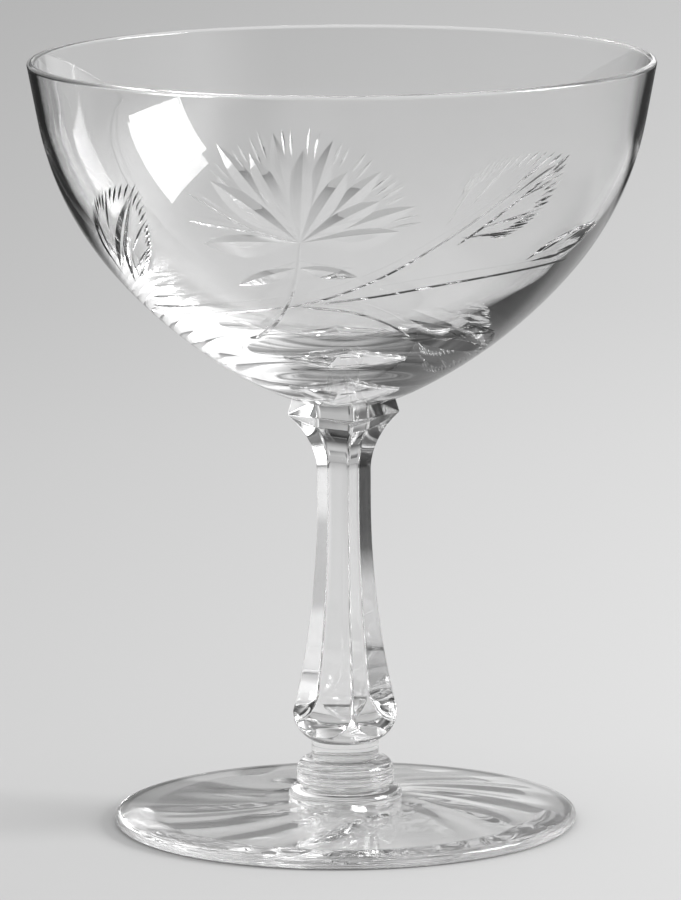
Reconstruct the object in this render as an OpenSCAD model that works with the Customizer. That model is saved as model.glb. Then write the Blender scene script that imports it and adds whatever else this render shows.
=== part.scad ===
// Sherbet glass in clear crystal: a thin blown bowl on a four-sided pressed stem.
// Bowl, stem, ringed knop and foot are separate gathers, joined hot, that stack on one axis.
// Millimetres, +Z up. The origin is the middle of the ring that the foot stands on.
// The four corners of the stem lie on the X and Y axes, and one of them faces the front, -Y.

/* [Overall] */
// Height from the table to the rim
glass_h = 120; // [114:0.5:130]

/* [Bowl] */
// Diameter over the rim
rim_d = 97.4; // [90:0.1:104]
// Depth of the straight lip below the rim
lip_h = 9.2; // [5:0.1:14]
// Lean of the lip from upright, in degrees
lip_lean = 10.6; // [6:0.1:14]
// Outer radius of the shoulder under the lip
shoulder_r = 49.9; // [46:0.1:56]
// Slope of the wall from level where shoulder meets belly, in degrees
belly_slope = 50; // [42:1:58]
// Outer radius of the belly
belly_r = 76.5; // [62:0.5:95]
// Outer radius of the rounded base that sits in the stem
base_r = 26; // [18:0.5:32]
// Thickness of the wall at the lip
wall_t = 1.2; // [0.8:0.05:2]
// Thickness of the wall where shoulder meets belly
belly_t = 1.9; // [1.4:0.05:2.4]
// Thickness of the glass at the middle of the base
base_t = 6.4; // [4:0.1:8]
// Inner radius of the base
base_in_r = 20; // [12:0.5:24]

/* [Stem] */
// Width across the flats of the seat at its lower edge
seat_w = 12.7; // [11:0.1:15]
// Lean of the seat's four sides, narrower towards the bowl, in degrees
seat_lean = 12; // [4:0.5:18]
// Height of the seat's lower edge below the lowest point of the bowl
seat_drop = 1.2; // [0.6:0.1:2.5]
// Height of the hollow sweep from the waist up to the seat
sweep_h = 9.1; // [7:0.1:12]
// Width across the flats at the waist
waist_w = 6.25; // [5:0.05:8]
// Length of the straight waist
waist_l = 4.5; // [2:0.1:8]
// Diameter of the round bulb at the lower end
bulb_d = 16.4; // [14.5:0.1:18]
// Height of the bulb's widest part above the knop
bulb_rise = 5.5; // [5:0.1:7]
// Radius of the bulb's outline above its widest part
bulb_up_r = 13; // [9:0.5:18]
// Radius of the bulb's outline below its widest part
bulb_low_r = 5.2; // [5:0.1:6]
// Height above the bulb's widest part where the corners end and each panel runs on as a scoop
scoop_rise = 2.2; // [1.5:0.1:3]
// Radius of the slight hollow of each panel's scooped end, down the side of the bulb
scoop_r = 40; // [20:1:120]
// Diameter of the neck between bulb and knop
neck_d = 10.5; // [9:0.1:11.5]

/* [Knop] */
// Height of the knop from the foot to the neck
knop_h = 6.3; // [5.5:0.1:8]
// Diameter of the knop
knop_d = 15.2; // [13.5:0.1:16.5]
// Height of the short neck on top of the knop
collar_h = 1.9; // [0.9:0.05:2.4]
// Radius that rounds the knop's upper edge
knop_up_r = 2.2; // [1:0.1:2.3]
// Radius that rounds the knop's lower edge
knop_low_r = 1; // [0.6:0.1:1.2]
// Number of fine grooves round the knop
groove_n = 5; // [1:1:5]
// Depth of the highest groove below the knop's shoulder
groove_drop = 0.92; // [0.6:0.02:1.4]
// Height from groove to groove
groove_pitch = 0.52; // [0.4:0.02:0.54]
// Radius of the groove's round section
groove_r = 0.1; // [0.08:0.01:0.16]

/* [Foot] */
// Diameter of the foot
foot_d = 72.2; // [64:0.1:80]
// Thickness of the foot at its rounded edge
foot_edge_t = 2; // [1.4:0.1:3]
// Height of the foot's cone where it meets the button
cone_h = 4.2; // [3.2:0.1:5]
// Diameter of the button in the middle of the foot
button_d = 17.8; // [16.5:0.1:21]
// Height of the button above the cone
button_h = 1.8; // [1.3:0.1:2.6]
// Radius that rounds the button's edge, no more than its height
button_edge_r = 1.7; // [0.6:0.1:2]
// Inner diameter of the flat ring that the foot stands on
ring_d = 54; // [40:0.5:60]
// Depth of the hollow under the foot
hollow_h = 0.9; // [0.4:0.05:1.5]

/* [Hidden] */
GLASS = [0.86, 0.9, 0.92, 0.45];

// Largest distance between an arc and its chords
chord_tol = 0.01;
// How far the stem's corners stay inside the round bulb where they end
corner_lap = 0.2;
// How far the curve of a panel runs on below the stem
panel_lap = 1;
// How far the seat's sides run up past the lowest point of the bowl, before the bowl's bed is cut
seat_lap = 3.2;

// Unit direction at this angle, anticlockwise from outwards, in radius and height
function dir(angle) = [cos(angle), sin(angle)];

// Points of an arc from one angle up to, and not including, the other
function arc(centre, radius, from, to) =
    let (step = 2 * acos(1 - chord_tol / radius), n = ceil(abs(to - from) / step))
    [for (i = [0 : n - 1]) centre + radius * dir(from + (to - from) * i / n)];

// Radius of an arc that leaves an upright line and gains this width over this height
function arc_r(gain, height) = (gain ^ 2 + height ^ 2) / (2 * gain);

// Heights of the joints, from the table up
foot_top = cone_h + button_h;
knop_top = foot_top + knop_h;

// Outside of the bowl: lip, shoulder, belly and base, each tangent to the next
belly_turn = belly_slope - 90;
lip_low = [rim_d / 2 - lip_h * tan(lip_lean), glass_h - lip_h];
shoulder_c = lip_low - shoulder_r * dir(-lip_lean);
belly_c = shoulder_c + (shoulder_r - belly_r) * dir(belly_turn);
base_turn = -acos(-belly_c.x / (belly_r - base_r));
base_c = belly_c + (belly_r - base_r) * dir(base_turn);
bowl_z = base_c.y - base_r;

// Inside of the bowl: a wall that thickens from the lip down to the belly, then on to the thick base
in_inset = (belly_t - wall_t) / (1 - cos(lip_lean + belly_turn));
in_shoulder_r = shoulder_r - wall_t - in_inset;
in_shoulder_c = shoulder_c + in_inset * dir(-lip_lean);
in_joint = in_shoulder_c + in_shoulder_r * dir(belly_turn);
in_base_c = [0, bowl_z + base_t + base_in_r];
in_span = in_base_c - in_joint;
in_belly_r = (base_in_r ^ 2 - in_span * in_span) / (2 * (in_span * dir(belly_turn) + base_in_r));
in_belly_c = in_joint - in_belly_r * dir(belly_turn);
in_base_turn = -acos(-in_belly_c.x / (in_belly_r - base_in_r));

// Middle of the fire-polished round rim
rim_r = wall_t / 2;
rim_c = [rim_d / 2 - rim_r * tan(lip_lean) - rim_r / cos(lip_lean), glass_h - rim_r];

// Stem, as half widths across the flats: seat, sweep, waist, long panel and scooped end
seat_half = seat_w / 2;
waist_half = waist_w / 2;
seat_low_z = bowl_z - seat_drop;
seat_top_z = bowl_z + seat_lap;
seat_top_half = seat_half - (seat_top_z - seat_low_z) * tan(seat_lean);
waist_top_z = seat_low_z - sweep_h;
waist_low_z = waist_top_z - waist_l;
sweep_r = arc_r(seat_half - waist_half, sweep_h);
sweep_turn = 180 - asin(sweep_h / sweep_r);
bulb_z = knop_top + bulb_rise;
bulb_r = bulb_d / 2;
bulb_up_c = [bulb_r - bulb_up_r, bulb_z];
bulb_low_c = [bulb_r - bulb_low_r, bulb_z];
bulb_up_turn = asin(scoop_rise / bulb_up_r);
bulb_low_turn = -acos((neck_d / 2 - bulb_low_c.x) / bulb_low_r);
scoop_z = bulb_z + scoop_rise;
scoop_half = (bulb_up_c.x + bulb_up_r * cos(bulb_up_turn) - corner_lap) / sqrt(2);
panel_fall = waist_low_z - scoop_z;
panel_r = arc_r(scoop_half - waist_half, panel_fall);
panel_turn = 180 + asin(panel_fall / panel_r);
scoop_c = [scoop_half, scoop_z] - scoop_r * dir(panel_turn);
scoop_low_turn = 180 + asin((scoop_c.y - knop_top + panel_lap) / scoop_r);
blank_r = max(seat_w, bulb_d);

// Foot: the round edge and the sphere that hollows the underside
foot_edge_r = foot_edge_t / 2;
foot_edge_c = [foot_d / 2 - foot_edge_r, foot_edge_r];
hollow_r = arc_r(hollow_h, ring_d / 2);
hollow_c = [0, hollow_h - hollow_r];
hollow_turn = acos(ring_d / 2 / hollow_r);

// Outer curve of the bowl in radius and height, from the axis up to the lip
bowl_out_curve = concat(
    arc(base_c, base_r, -90, base_turn),
    arc(belly_c, belly_r, base_turn, belly_turn),
    arc(shoulder_c, shoulder_r, belly_turn, -lip_lean),
    [lip_low]
);

// Inner curve of the bowl, from the lip down to the axis
bowl_in_curve = concat(
    arc(in_shoulder_c, in_shoulder_r, -lip_lean, belly_turn),
    arc(in_belly_c, in_belly_r, belly_turn, in_base_turn),
    arc(in_base_c, base_in_r, in_base_turn, -90),
    [in_base_c - [0, base_in_r]]
);

// Right side of the stem seen square on to a panel, from the scooped end up to the bowl
panel_curve = concat(
    arc(scoop_c, scoop_r, scoop_low_turn, panel_turn),
    arc([waist_half + panel_r, waist_low_z], panel_r, panel_turn, 180),
    [[waist_half, waist_low_z]],
    arc([waist_half + sweep_r, waist_top_z], sweep_r, 180, sweep_turn),
    [[seat_half, seat_low_z], [seat_top_half, seat_top_z]]
);

module bowl() {
    rim = arc(rim_c, rim_r, -lip_lean, 180 - lip_lean);
    color(GLASS) rotate_extrude() polygon(concat(bowl_out_curve, rim, bowl_in_curve));
}

// A slab with the panel curve on two opposite sides, turned about the axis
module panel_slab(turn) {
    other_half = [for (i = [len(panel_curve) - 1 : -1 : 0]) [-panel_curve[i].x, panel_curve[i].y]];
    rotate(turn) rotate([90, 0, 0]) linear_extrude(2 * blank_r, center = true)
        polygon(concat(panel_curve, other_half));
}

// The round glass that the panels are pressed into: neck, bulb and plain upper part
module stem_blank() {
    bulb = concat(
        arc(bulb_low_c, bulb_low_r, bulb_low_turn, 0),
        arc(bulb_up_c, bulb_up_r, 0, bulb_up_turn),
        [bulb_up_c + bulb_up_r * dir(bulb_up_turn)]
    );
    neck = [[0, knop_top], [neck_d / 2, knop_top]];
    upper = [[blank_r, scoop_z], [blank_r, seat_top_z], [0, seat_top_z]];
    rotate_extrude() polygon(concat(neck, bulb, upper));
}

// What the round base of the bowl leaves free above the stem
module bowl_bed() {
    rotate_extrude() polygon(concat(bowl_out_curve, [[0, lip_low.y]]));
}

module stem() {
    color(GLASS) difference() {
        intersection() {
            stem_blank();
            panel_slab(45);
            panel_slab(-45);
        }
        bowl_bed();
    }
}

module knop() {
    knop_r = knop_d / 2;
    body_top = knop_top - collar_h;
    up_r = min(knop_up_r, knop_h - collar_h - knop_low_r);
    up_c = [knop_r - up_r, body_top - up_r];
    outline = concat(
        [[0, foot_top]],
        arc([knop_r - knop_low_r, foot_top + knop_low_r], knop_low_r, -90, 0),
        arc(up_c, up_r, 0, 90),
        [[up_c.x, body_top], [neck_d / 2, body_top], [neck_d / 2, knop_top], [0, knop_top]]
    );
    color(GLASS) rotate_extrude() difference() {
        polygon(outline);
        for (i = [0 : groove_n - 1]) {
            z = body_top - groove_drop - i * groove_pitch;
            over = max(0, z - up_c.y);
            translate([up_c.x + sqrt(up_r ^ 2 - over ^ 2), z]) circle(r = groove_r, $fn = 24);
        }
    }
}

module foot() {
    edge_r = min(button_edge_r, button_h);
    button_c = [button_d / 2 - edge_r, foot_top - edge_r];
    outline = concat(
        arc(foot_edge_c, foot_edge_r, -90, 90),
        [foot_edge_c + [0, foot_edge_r], [button_d / 2, cone_h]],
        arc(button_c, edge_r, 0, 90),
        [button_c + [0, edge_r], [0, foot_top]],
        arc(hollow_c, hollow_r, 90, hollow_turn),
        [[ring_d / 2, 0]]
    );
    color(GLASS) rotate_extrude() polygon(outline);
}

bowl();
stem();
knop();
foot();
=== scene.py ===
"""Sherbet glass in clear lead crystal: the looks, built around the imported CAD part.

Four gathers of glass are fused hot into one stack: a thin blown bowl with a wheel-cut spray on its
front, a four-sided pressed stem, a ringed knop and a spun foot. Every size below is in millimetres
and every angle in degrees, until a mesh or a light is made in metres and radians.
"""

import logging
import math
from collections.abc import Iterator, Sequence
from dataclasses import dataclass
from enum import Enum
from functools import partial

import bpy
import numpy as np
from mathutils import Matrix, Vector
from mathutils.geometry import delaunay_2d_cdt


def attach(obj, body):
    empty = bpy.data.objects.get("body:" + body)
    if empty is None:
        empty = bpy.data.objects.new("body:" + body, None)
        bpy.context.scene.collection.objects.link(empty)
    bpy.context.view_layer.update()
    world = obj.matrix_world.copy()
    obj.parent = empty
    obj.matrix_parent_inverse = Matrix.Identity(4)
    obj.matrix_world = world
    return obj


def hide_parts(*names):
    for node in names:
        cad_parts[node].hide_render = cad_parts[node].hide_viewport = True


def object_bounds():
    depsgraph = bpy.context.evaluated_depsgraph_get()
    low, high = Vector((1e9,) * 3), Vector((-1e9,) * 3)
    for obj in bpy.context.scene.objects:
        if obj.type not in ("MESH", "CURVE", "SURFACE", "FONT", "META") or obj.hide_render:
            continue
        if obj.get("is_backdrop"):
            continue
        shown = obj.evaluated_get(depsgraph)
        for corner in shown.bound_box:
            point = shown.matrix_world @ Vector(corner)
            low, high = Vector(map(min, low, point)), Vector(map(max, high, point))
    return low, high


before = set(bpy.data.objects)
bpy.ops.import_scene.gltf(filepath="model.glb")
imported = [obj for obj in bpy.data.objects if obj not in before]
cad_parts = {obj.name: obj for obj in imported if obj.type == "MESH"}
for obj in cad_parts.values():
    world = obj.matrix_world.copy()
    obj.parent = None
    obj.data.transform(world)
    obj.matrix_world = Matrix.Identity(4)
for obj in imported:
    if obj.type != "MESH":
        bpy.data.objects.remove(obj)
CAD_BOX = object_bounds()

logging.basicConfig(level=logging.INFO, format="%(name)s: %(message)s")
log = logging.getLogger("sherbet_glass")

MM = 0.001
BODY = "root"
FUSED_FLAG = "fused"
# Points closer than this are welded, and faces this close to a joint's height belong to the joint.
WELD = 0.0004
SKIN = 0.01
# Half of one unit: of a grid about its middle, of a noise from zero to one, of the count of a ray's bounces.
HALF = 0.5
# Less than any length or depth that counts, and less than any squared length or area.
TINY = 1e-9
NO_AREA = 1e-12
# Kinds of node that come often, and where the colour mix has its inputs and its output.
MATH = "ShaderNodeMath"
VECTOR = "ShaderNodeVectorMath"
SPLIT = "ShaderNodeSeparateXYZ"
JOIN = "ShaderNodeCombineXYZ"
RANGE = "ShaderNodeMapRange"
MIX = "ShaderNodeMix"
COMPARE = "FunctionNodeCompare"
DRESS = "GeometryNodeSetMaterial"
MIX_A, MIX_B, MIX_OUT = 6, 7, 2
Point = tuple[float, float]
Span = tuple[float, float]
Stops = tuple[tuple[float, str], ...]


def linear(colour: str) -> tuple[float, float, float, float]:
    """Turns an sRGB hex colour into linear light.

    Args:
        colour: The colour as "#RRGGBB".

    Returns:
        Linear red, green, blue and an alpha of one.
    """
    parts = [int(colour[i : i + 2], 16) / 255 for i in (1, 3, 5)]
    light = [c / 12.92 if c <= 0.04045 else ((c + 0.055) / 1.055) ** 2.4 for c in parts]
    return (*light, 1.0)


def add_node(
    tree: bpy.types.NodeTree, kind: str, feeds: dict | Sequence = (), **settings
) -> bpy.types.bpy_prop_collection:
    """Adds a node to a shader or geometry tree, with its settings, values and links.

    Args:
        tree: The tree that gets the node.
        kind: Blender's name for the kind of node.
        feeds: A value or another node's output for each input, in order or by the input's name or number.
        settings: The node's own properties.

    Returns:
        The new node's outputs.
    """
    node = tree.nodes.new(kind)
    for name, value in settings.items():
        setattr(node, name, value)
    named = feeds if isinstance(feeds, dict) else dict(enumerate(feeds))
    for name, value in named.items():
        if isinstance(value, bpy.types.NodeSocket):
            tree.links.new(value, node.inputs[name])
        else:
            node.inputs[name].default_value = value
    return node.outputs


def new_object(name: str, data: bpy.types.ID) -> bpy.types.Object:
    """Links a new object at the origin.

    Args:
        name: The object's name.
        data: Its mesh, curve, light or camera.

    Returns:
        The object.
    """
    made = bpy.data.objects.new(name, data)
    bpy.context.scene.collection.objects.link(made)
    return made


def drop(thing: bpy.types.Object) -> None:
    """Removes a helper object and its data.

    Args:
        thing: The helper, which has a mesh or a curve.
    """
    data = thing.data
    bpy.data.objects.remove(thing)
    if isinstance(data, bpy.types.Mesh):
        bpy.data.meshes.remove(data)
    else:
        bpy.data.curves.remove(data)


@dataclass(frozen=True)
class Arc:
    """An arc of a profile, in radius and height, from one angle to the other."""

    centre: Point
    radius: float
    start: float
    end: float

    @property
    def length(self) -> float:
        """Length along the arc."""
        return self.radius * math.radians(abs(self.end - self.start))

    def at(self, run: np.ndarray) -> tuple[np.ndarray, np.ndarray]:
        """Finds points on the arc.

        Args:
            run: Distances from the arc's start.

        Returns:
            The points and the normals to the right of the way along the profile.
        """
        side = math.copysign(1.0, self.end - self.start)
        turn = math.radians(self.start) + side * run / self.radius
        way = np.stack([np.cos(turn), np.sin(turn)], axis=-1)
        return np.asarray(self.centre) + self.radius * way, side * way


@dataclass(frozen=True)
class Line:
    """A straight part of a profile, in radius and height."""

    start: Point
    end: Point

    @property
    def length(self) -> float:
        """Length of the line."""
        return math.dist(self.start, self.end)

    def at(self, run: np.ndarray) -> tuple[np.ndarray, np.ndarray]:
        """Finds points on the line.

        Args:
            run: Distances from the line's start.

        Returns:
            The points and the normals to the right of the way along the profile.
        """
        way = (np.asarray(self.end) - np.asarray(self.start)) / max(self.length, TINY)
        normal = np.array([way[1], -way[0]])
        return np.asarray(self.start) + run[:, None] * way, np.tile(normal, (len(run), 1))


@dataclass(frozen=True)
class Profile:
    """A chain of arcs and lines, in radius and height, with the glass on its left."""

    parts: tuple[Arc | Line, ...]

    @property
    def length(self) -> float:
        """Length of the whole chain."""
        return sum(p.length for p in self.parts)

    def at(self, run: np.ndarray) -> tuple[np.ndarray, np.ndarray]:
        """Finds points along the chain.

        Args:
            run: Distances from the start of the chain.

        Returns:
            The points and their normals.
        """
        run = np.asarray(run, float)
        points = np.zeros((len(run), 2))
        normals = np.zeros((len(run), 2))
        begin = 0.0
        for i, part in enumerate(self.parts):
            last = i == len(self.parts) - 1
            here = (run >= begin) if last else (run >= begin) & (run < begin + part.length)
            points[here], normals[here] = part.at(run[here] - begin)
            begin += part.length
        return points, normals

    def sampled(self, step: float, tolerance: float) -> np.ndarray:
        """Samples the chain with every corner kept.

        Args:
            step: Longest distance between two points.
            tolerance: Largest distance between an arc and its chords.

        Returns:
            The points from the first to the last.
        """
        found = []
        for part in self.parts:
            reach = step
            if isinstance(part, Arc):
                reach = min(step, math.sqrt(8 * tolerance * part.radius))
            count = max(1, math.ceil(part.length / reach))
            found.append(part.at(np.linspace(0, part.length, count + 1))[0][:-1])
        last = self.parts[-1]
        found.append(last.at(np.array([last.length]))[0])
        return np.concatenate(found)


class Wave(Enum):
    """How the hot glass was worked, with the stretch of the unevenness that this leaves in its surface."""

    # Blown: long upright waves, which make the background swim a little through the bowl.
    BLOWN = (1.0, 1.0, 0.5)
    # Pressed: short soft dimples from the mould, which break the long highlights of the stem.
    PRESSED = (1.0, 1.0, 0.6)
    # Tooled: level marks of the turning tool, which string the knop's highlights out sideways.
    TOOLED = (0.4, 0.4, 2.0)
    # Spun: an even slow swell, so that the foot mirrors softly bent edges.
    SPUN = (1.0, 1.0, 1.0)


@dataclass(frozen=True)
class Crystal:
    """Lead crystal, fire-polished: clear, bright and a little uneven from the way it was worked.

    Lamps pass it as through a pane of the colour passed, and beyond the radius edge_from of edge_passed.
    """

    name: str
    wave: Wave
    wave_size: float
    wave_depth: float
    wave_detail: float = 1.0
    wave_rough: float = 0.4
    tint: str = "#FDFDFD"
    ior: float = 1.545
    roughness: float = 0.0
    passed: str = "#F2F2F2"
    edge_from: float = 1000.0
    edge_passed: str = "#A0A0A0"

    def material(self) -> bpy.types.Material:
        """Builds the finish.

        Returns:
            A glass that bends what is behind it and lets lamps through to what it stands on.
        """
        made = bpy.data.materials.new(self.name)
        made.use_nodes = True
        made.node_tree.nodes.clear()
        node = partial(add_node, made.node_tree)
        place = node("ShaderNodeTexCoord")["Object"]
        stretched = node("ShaderNodeMapping", {"Vector": place, "Scale": self.wave.value})[0]
        uneven = node(
            "ShaderNodeTexNoise",
            {
                "Vector": stretched,
                "Scale": 1 / (self.wave_size * MM),
                "Detail": self.wave_detail,
                "Roughness": self.wave_rough,
            },
        )["Fac"]
        bump = node("ShaderNodeBump", {"Height": uneven, "Strength": 1.0, "Distance": self.wave_depth * MM})
        glass = node(
            "ShaderNodeBsdfPrincipled",
            {
                "Base Color": linear(self.tint),
                "Roughness": self.roughness,
                "IOR": self.ior,
                "Transmission Weight": 1.0,
                "Normal": bump["Normal"],
            },
        )
        level = node(VECTOR, (place, (1.0, 1.0, 0.0)), operation="MULTIPLY")[0]
        reach = node(VECTOR, (level,), operation="LENGTH")["Value"]
        at_edge = node(MATH, (reach, self.edge_from * MM), operation="GREATER_THAN")[0]
        shades = {0: at_edge, MIX_A: linear(self.passed), MIX_B: linear(self.edge_passed)}
        passed = node(MIX, shades, data_type="RGBA")[MIX_OUT]
        through = node("ShaderNodeBsdfTransparent", {"Color": passed})
        path = node("ShaderNodeLightPath")
        lit = node(MATH, (path["Is Shadow Ray"], path["Is Diffuse Ray"]), operation="MAXIMUM")[0]
        mixed = node("ShaderNodeMixShader", (lit, glass[0], through[0]))[0]
        node("ShaderNodeOutputMaterial", {"Surface": mixed})
        return made


@dataclass(frozen=True)
class FusedJoint:
    """Where two gathers melted into one: there is no surface left, so nothing shows."""

    name: str = "crystal_fused_joint"

    def material(self) -> bpy.types.Material:
        """Builds the finish.

        Returns:
            A material that is fully see-through and bends nothing.
        """
        made = bpy.data.materials.new(self.name)
        made.use_nodes = True
        made.node_tree.nodes["Principled BSDF"].inputs["Alpha"].default_value = 0.0
        return made


def new_tree(name: str, sockets: Sequence[tuple]) -> bpy.types.GeometryNodeTree:
    """Starts a geometry tree with named inputs.

    Args:
        name: The tree's name.
        sockets: Name and kind of each input, and its first value where it needs one.

    Returns:
        The tree, with one geometry output.
    """
    tree = bpy.data.node_groups.new(name, "GeometryNodeTree")
    for title, kind, *value in sockets:
        made = tree.interface.new_socket(title, in_out="INPUT", socket_type="NodeSocket" + kind)
        if value:
            made.default_value = value[0]
    tree.interface.new_socket("Geometry", in_out="OUTPUT", socket_type="NodeSocketGeometry")
    return tree


def lathe_tree() -> bpy.types.GeometryNodeTree:
    """Builds the tree that turns a profile about the upright axis, as glass is turned.

    Returns:
        The tree. Its inputs are named for what they set.
    """
    sockets = (
        ("Profile", "Object"),
        ("Segments", "Int", 192),
        ("Ripple Depth", "Float", 0.0),
        ("Ripple Count", "Float", 3.0),
        ("Ripple Swirl", "Float", 0.0),
        ("Ripple Inner", "Float", 0.0),
        ("Ripple Outer", "Float", 1.0),
        ("Ripple Fade", "Float", 1.0),
        ("Ripple End", "Float", 2.0),
        ("Ripple Above", "Float", 0.0),
        ("Joint Radius", "Float", 0.0),
        ("Joint Low", "Float", -1.0),
        ("Joint High", "Float", 1.0),
        ("Crease", "Float", 0.5),
        ("Glass", "Material"),
        ("Fused", "Material"),
    )
    tree = new_tree("turned_glass", sockets)
    node = partial(add_node, tree)
    given = node("NodeGroupInput")

    # A grid of one unit about its middle: its columns go round the axis and its rows along the profile.
    curve = node("GeometryNodeObjectInfo", {"Object": given["Profile"]})["Geometry"]
    count = node("GeometryNodeAttributeDomainSize", {"Geometry": curve}, component="CURVE")["Point Count"]
    seam = node(MATH, (given["Segments"], 1.0), operation="ADD")[0]
    sizes = {"Size X": 1.0, "Size Y": 1.0, "Vertices X": seam, "Vertices Y": count}
    grid = node("GeometryNodeMeshGrid", sizes)["Mesh"]
    spot = node("GeometryNodeInputPosition")[0]
    flat = node(SPLIT, (spot,))
    angle = node(MATH, (flat["X"], 2 * math.pi), operation="MULTIPLY")[0]
    along = node(MATH, (flat["Y"], HALF), operation="ADD")[0]
    last = node(MATH, (count, 1.0), operation="SUBTRACT")[0]
    step = node(MATH, (along, last), operation="MULTIPLY")[0]
    ring = node(MATH, (step,), operation="ROUND")[0]
    asked = {"Geometry": curve, "Value": spot, "Index": ring}
    point = node("GeometryNodeSampleIndex", asked, data_type="FLOAT_VECTOR", domain="POINT")["Value"]
    outline = node(SPLIT, (point,))
    radius, height = outline["X"], outline["Z"]

    # Ripples that swirl out from the middle, swell over the cone and die out before the edge.
    twist = node(MATH, (radius, given["Ripple Swirl"], angle), operation="MULTIPLY_ADD")[0]
    east = node(MATH, (twist,), operation="COSINE")[0]
    north = node(MATH, (twist,), operation="SINE")[0]
    around = node(JOIN, (east, north))[0]
    wavy = {"Vector": around, "Scale": given["Ripple Count"], "Detail": 0.0}
    noise = node("ShaderNodeTexNoise", wavy)["Fac"]
    swell = {"Value": radius, "From Min": given["Ripple Inner"], "From Max": given["Ripple Outer"]}
    rise_in = node(RANGE, swell, interpolation_type="SMOOTHSTEP")[0]
    fall = {"Value": radius, "From Min": given["Ripple Fade"], "From Max": given["Ripple End"]}
    die_out = node(RANGE, fall | {"To Min": 1.0, "To Max": 0.0}, interpolation_type="SMOOTHSTEP")[0]
    top = node(MATH, (height, given["Ripple Above"]), operation="GREATER_THAN")[0]
    ripple = node(MATH, (noise, HALF), operation="SUBTRACT")[0]
    for share in (given["Ripple Depth"], rise_in, die_out, top):
        ripple = node(MATH, (ripple, share), operation="MULTIPLY")[0]
    lifted = node(MATH, (height, ripple), operation="SUBTRACT")[0]

    cos_a = node(MATH, (angle,), operation="COSINE")[0]
    sin_a = node(MATH, (angle,), operation="SINE")[0]
    x = node(MATH, (radius, cos_a), operation="MULTIPLY")[0]
    y = node(MATH, (radius, sin_a), operation="MULTIPLY")[0]
    turned = node(JOIN, (x, y, lifted))[0]
    shaped = node("GeometryNodeSetPosition", {"Geometry": grid, "Position": turned})[0]
    closed = node("GeometryNodeMergeByDistance", {"Geometry": shaped, "Distance": WELD * MM})[0]
    smooth = node("GeometryNodeSetShadeSmooth", {"Geometry": closed}, domain="FACE")[0]
    bend = node("GeometryNodeInputMeshEdgeAngle")["Unsigned Angle"]
    edge = node(COMPARE, (bend, given["Crease"]), operation="GREATER_THAN")[0]
    sharp = {"Geometry": smooth, "Selection": edge, "Shade Smooth": False}
    creased = node("GeometryNodeSetShadeSmooth", sharp, domain="EDGE")[0]

    # The level faces where another gather is fused on.
    here = node(SPLIT, (spot,))
    level = node(JOIN, (here["X"], here["Y"]))[0]
    reach = node(VECTOR, (level,), operation="LENGTH")["Value"]
    near = node(COMPARE, (reach, given["Joint Radius"]), operation="LESS_THAN")[0]
    low = node(COMPARE, (here["Z"], given["Joint Low"]), operation="LESS_THAN")[0]
    high = node(COMPARE, (here["Z"], given["Joint High"]), operation="GREATER_THAN")[0]
    ends = node("FunctionNodeBooleanMath", (low, high), operation="OR")[0]
    fused = node("FunctionNodeBooleanMath", (near, ends), operation="AND")[0]
    whole = node("GeometryNodeRealizeInstances", {"Geometry": creased})[0]
    glazed = node(DRESS, {"Geometry": whole, "Material": given["Glass"]})[0]
    joined = node(DRESS, {"Geometry": glazed, "Selection": fused, "Material": given["Fused"]})[0]
    node("NodeGroupOutput", {"Geometry": joined})
    return tree


def around_tree() -> bpy.types.GeometryNodeTree:
    """Builds the tree that repeats one panel of the stem round the axis, as the mould does.

    Returns:
        The tree. Its inputs are named for what they set.
    """
    sockets = (("Panel", "Object"), ("Panels", "Int"), ("Glass", "Material"), ("Fused", "Material"))
    tree = new_tree("panels_round_the_axis", sockets)
    node = partial(add_node, tree)
    given = node("NodeGroupInput")
    panel = node("GeometryNodeObjectInfo", {"Object": given["Panel"]})["Geometry"]
    points = node("GeometryNodePoints", {"Count": given["Panels"]})[0]
    index = node("GeometryNodeInputIndex")[0]
    step = node(MATH, (2 * math.pi, given["Panels"]), operation="DIVIDE")[0]
    turn = node(MATH, (index, step), operation="MULTIPLY")[0]
    spin = node(JOIN, {"Z": turn})[0]
    spread = {"Points": points, "Instance": panel, "Rotation": spin}
    placed = node("GeometryNodeInstanceOnPoints", spread)[0]
    whole = node("GeometryNodeRealizeInstances", {"Geometry": placed})[0]
    closed = node("GeometryNodeMergeByDistance", {"Geometry": whole, "Distance": WELD * MM})[0]
    smooth = node("GeometryNodeSetShadeSmooth", {"Geometry": closed}, domain="FACE")[0]
    glazed = node(DRESS, {"Geometry": smooth, "Material": given["Glass"]})[0]
    flag = node("GeometryNodeInputNamedAttribute", {"Name": FUSED_FLAG}, data_type="BOOLEAN")["Attribute"]
    joined = node(DRESS, {"Geometry": glazed, "Selection": flag, "Material": given["Fused"]})[0]
    node("NodeGroupOutput", {"Geometry": joined})
    return tree


def grown(name: str, tree: bpy.types.GeometryNodeTree, inputs: dict) -> bpy.types.Object:
    """Runs a geometry tree once and keeps its result as a plain mesh.

    Args:
        name: The name of the finished piece.
        tree: The geometry tree.
        inputs: A value for each of the tree's inputs, by name.

    Returns:
        The finished object, with no modifier on it.
    """
    host = new_object(name + "_host", bpy.data.meshes.new(name + "_host"))
    modifier = host.modifiers.new("shape", "NODES")
    modifier.node_group = tree
    for item in tree.interface.items_tree:
        if item.item_type == "SOCKET" and item.in_out == "INPUT" and item.name in inputs:
            modifier[item.identifier] = inputs[item.name]
    graph = bpy.context.evaluated_depsgraph_get()
    mesh = bpy.data.meshes.new_from_object(
        host.evaluated_get(graph), preserve_all_data_layers=True, depsgraph=graph
    )
    mesh.name = name
    host.modifiers.clear()
    drop(host)
    return new_object(name, mesh)


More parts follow.
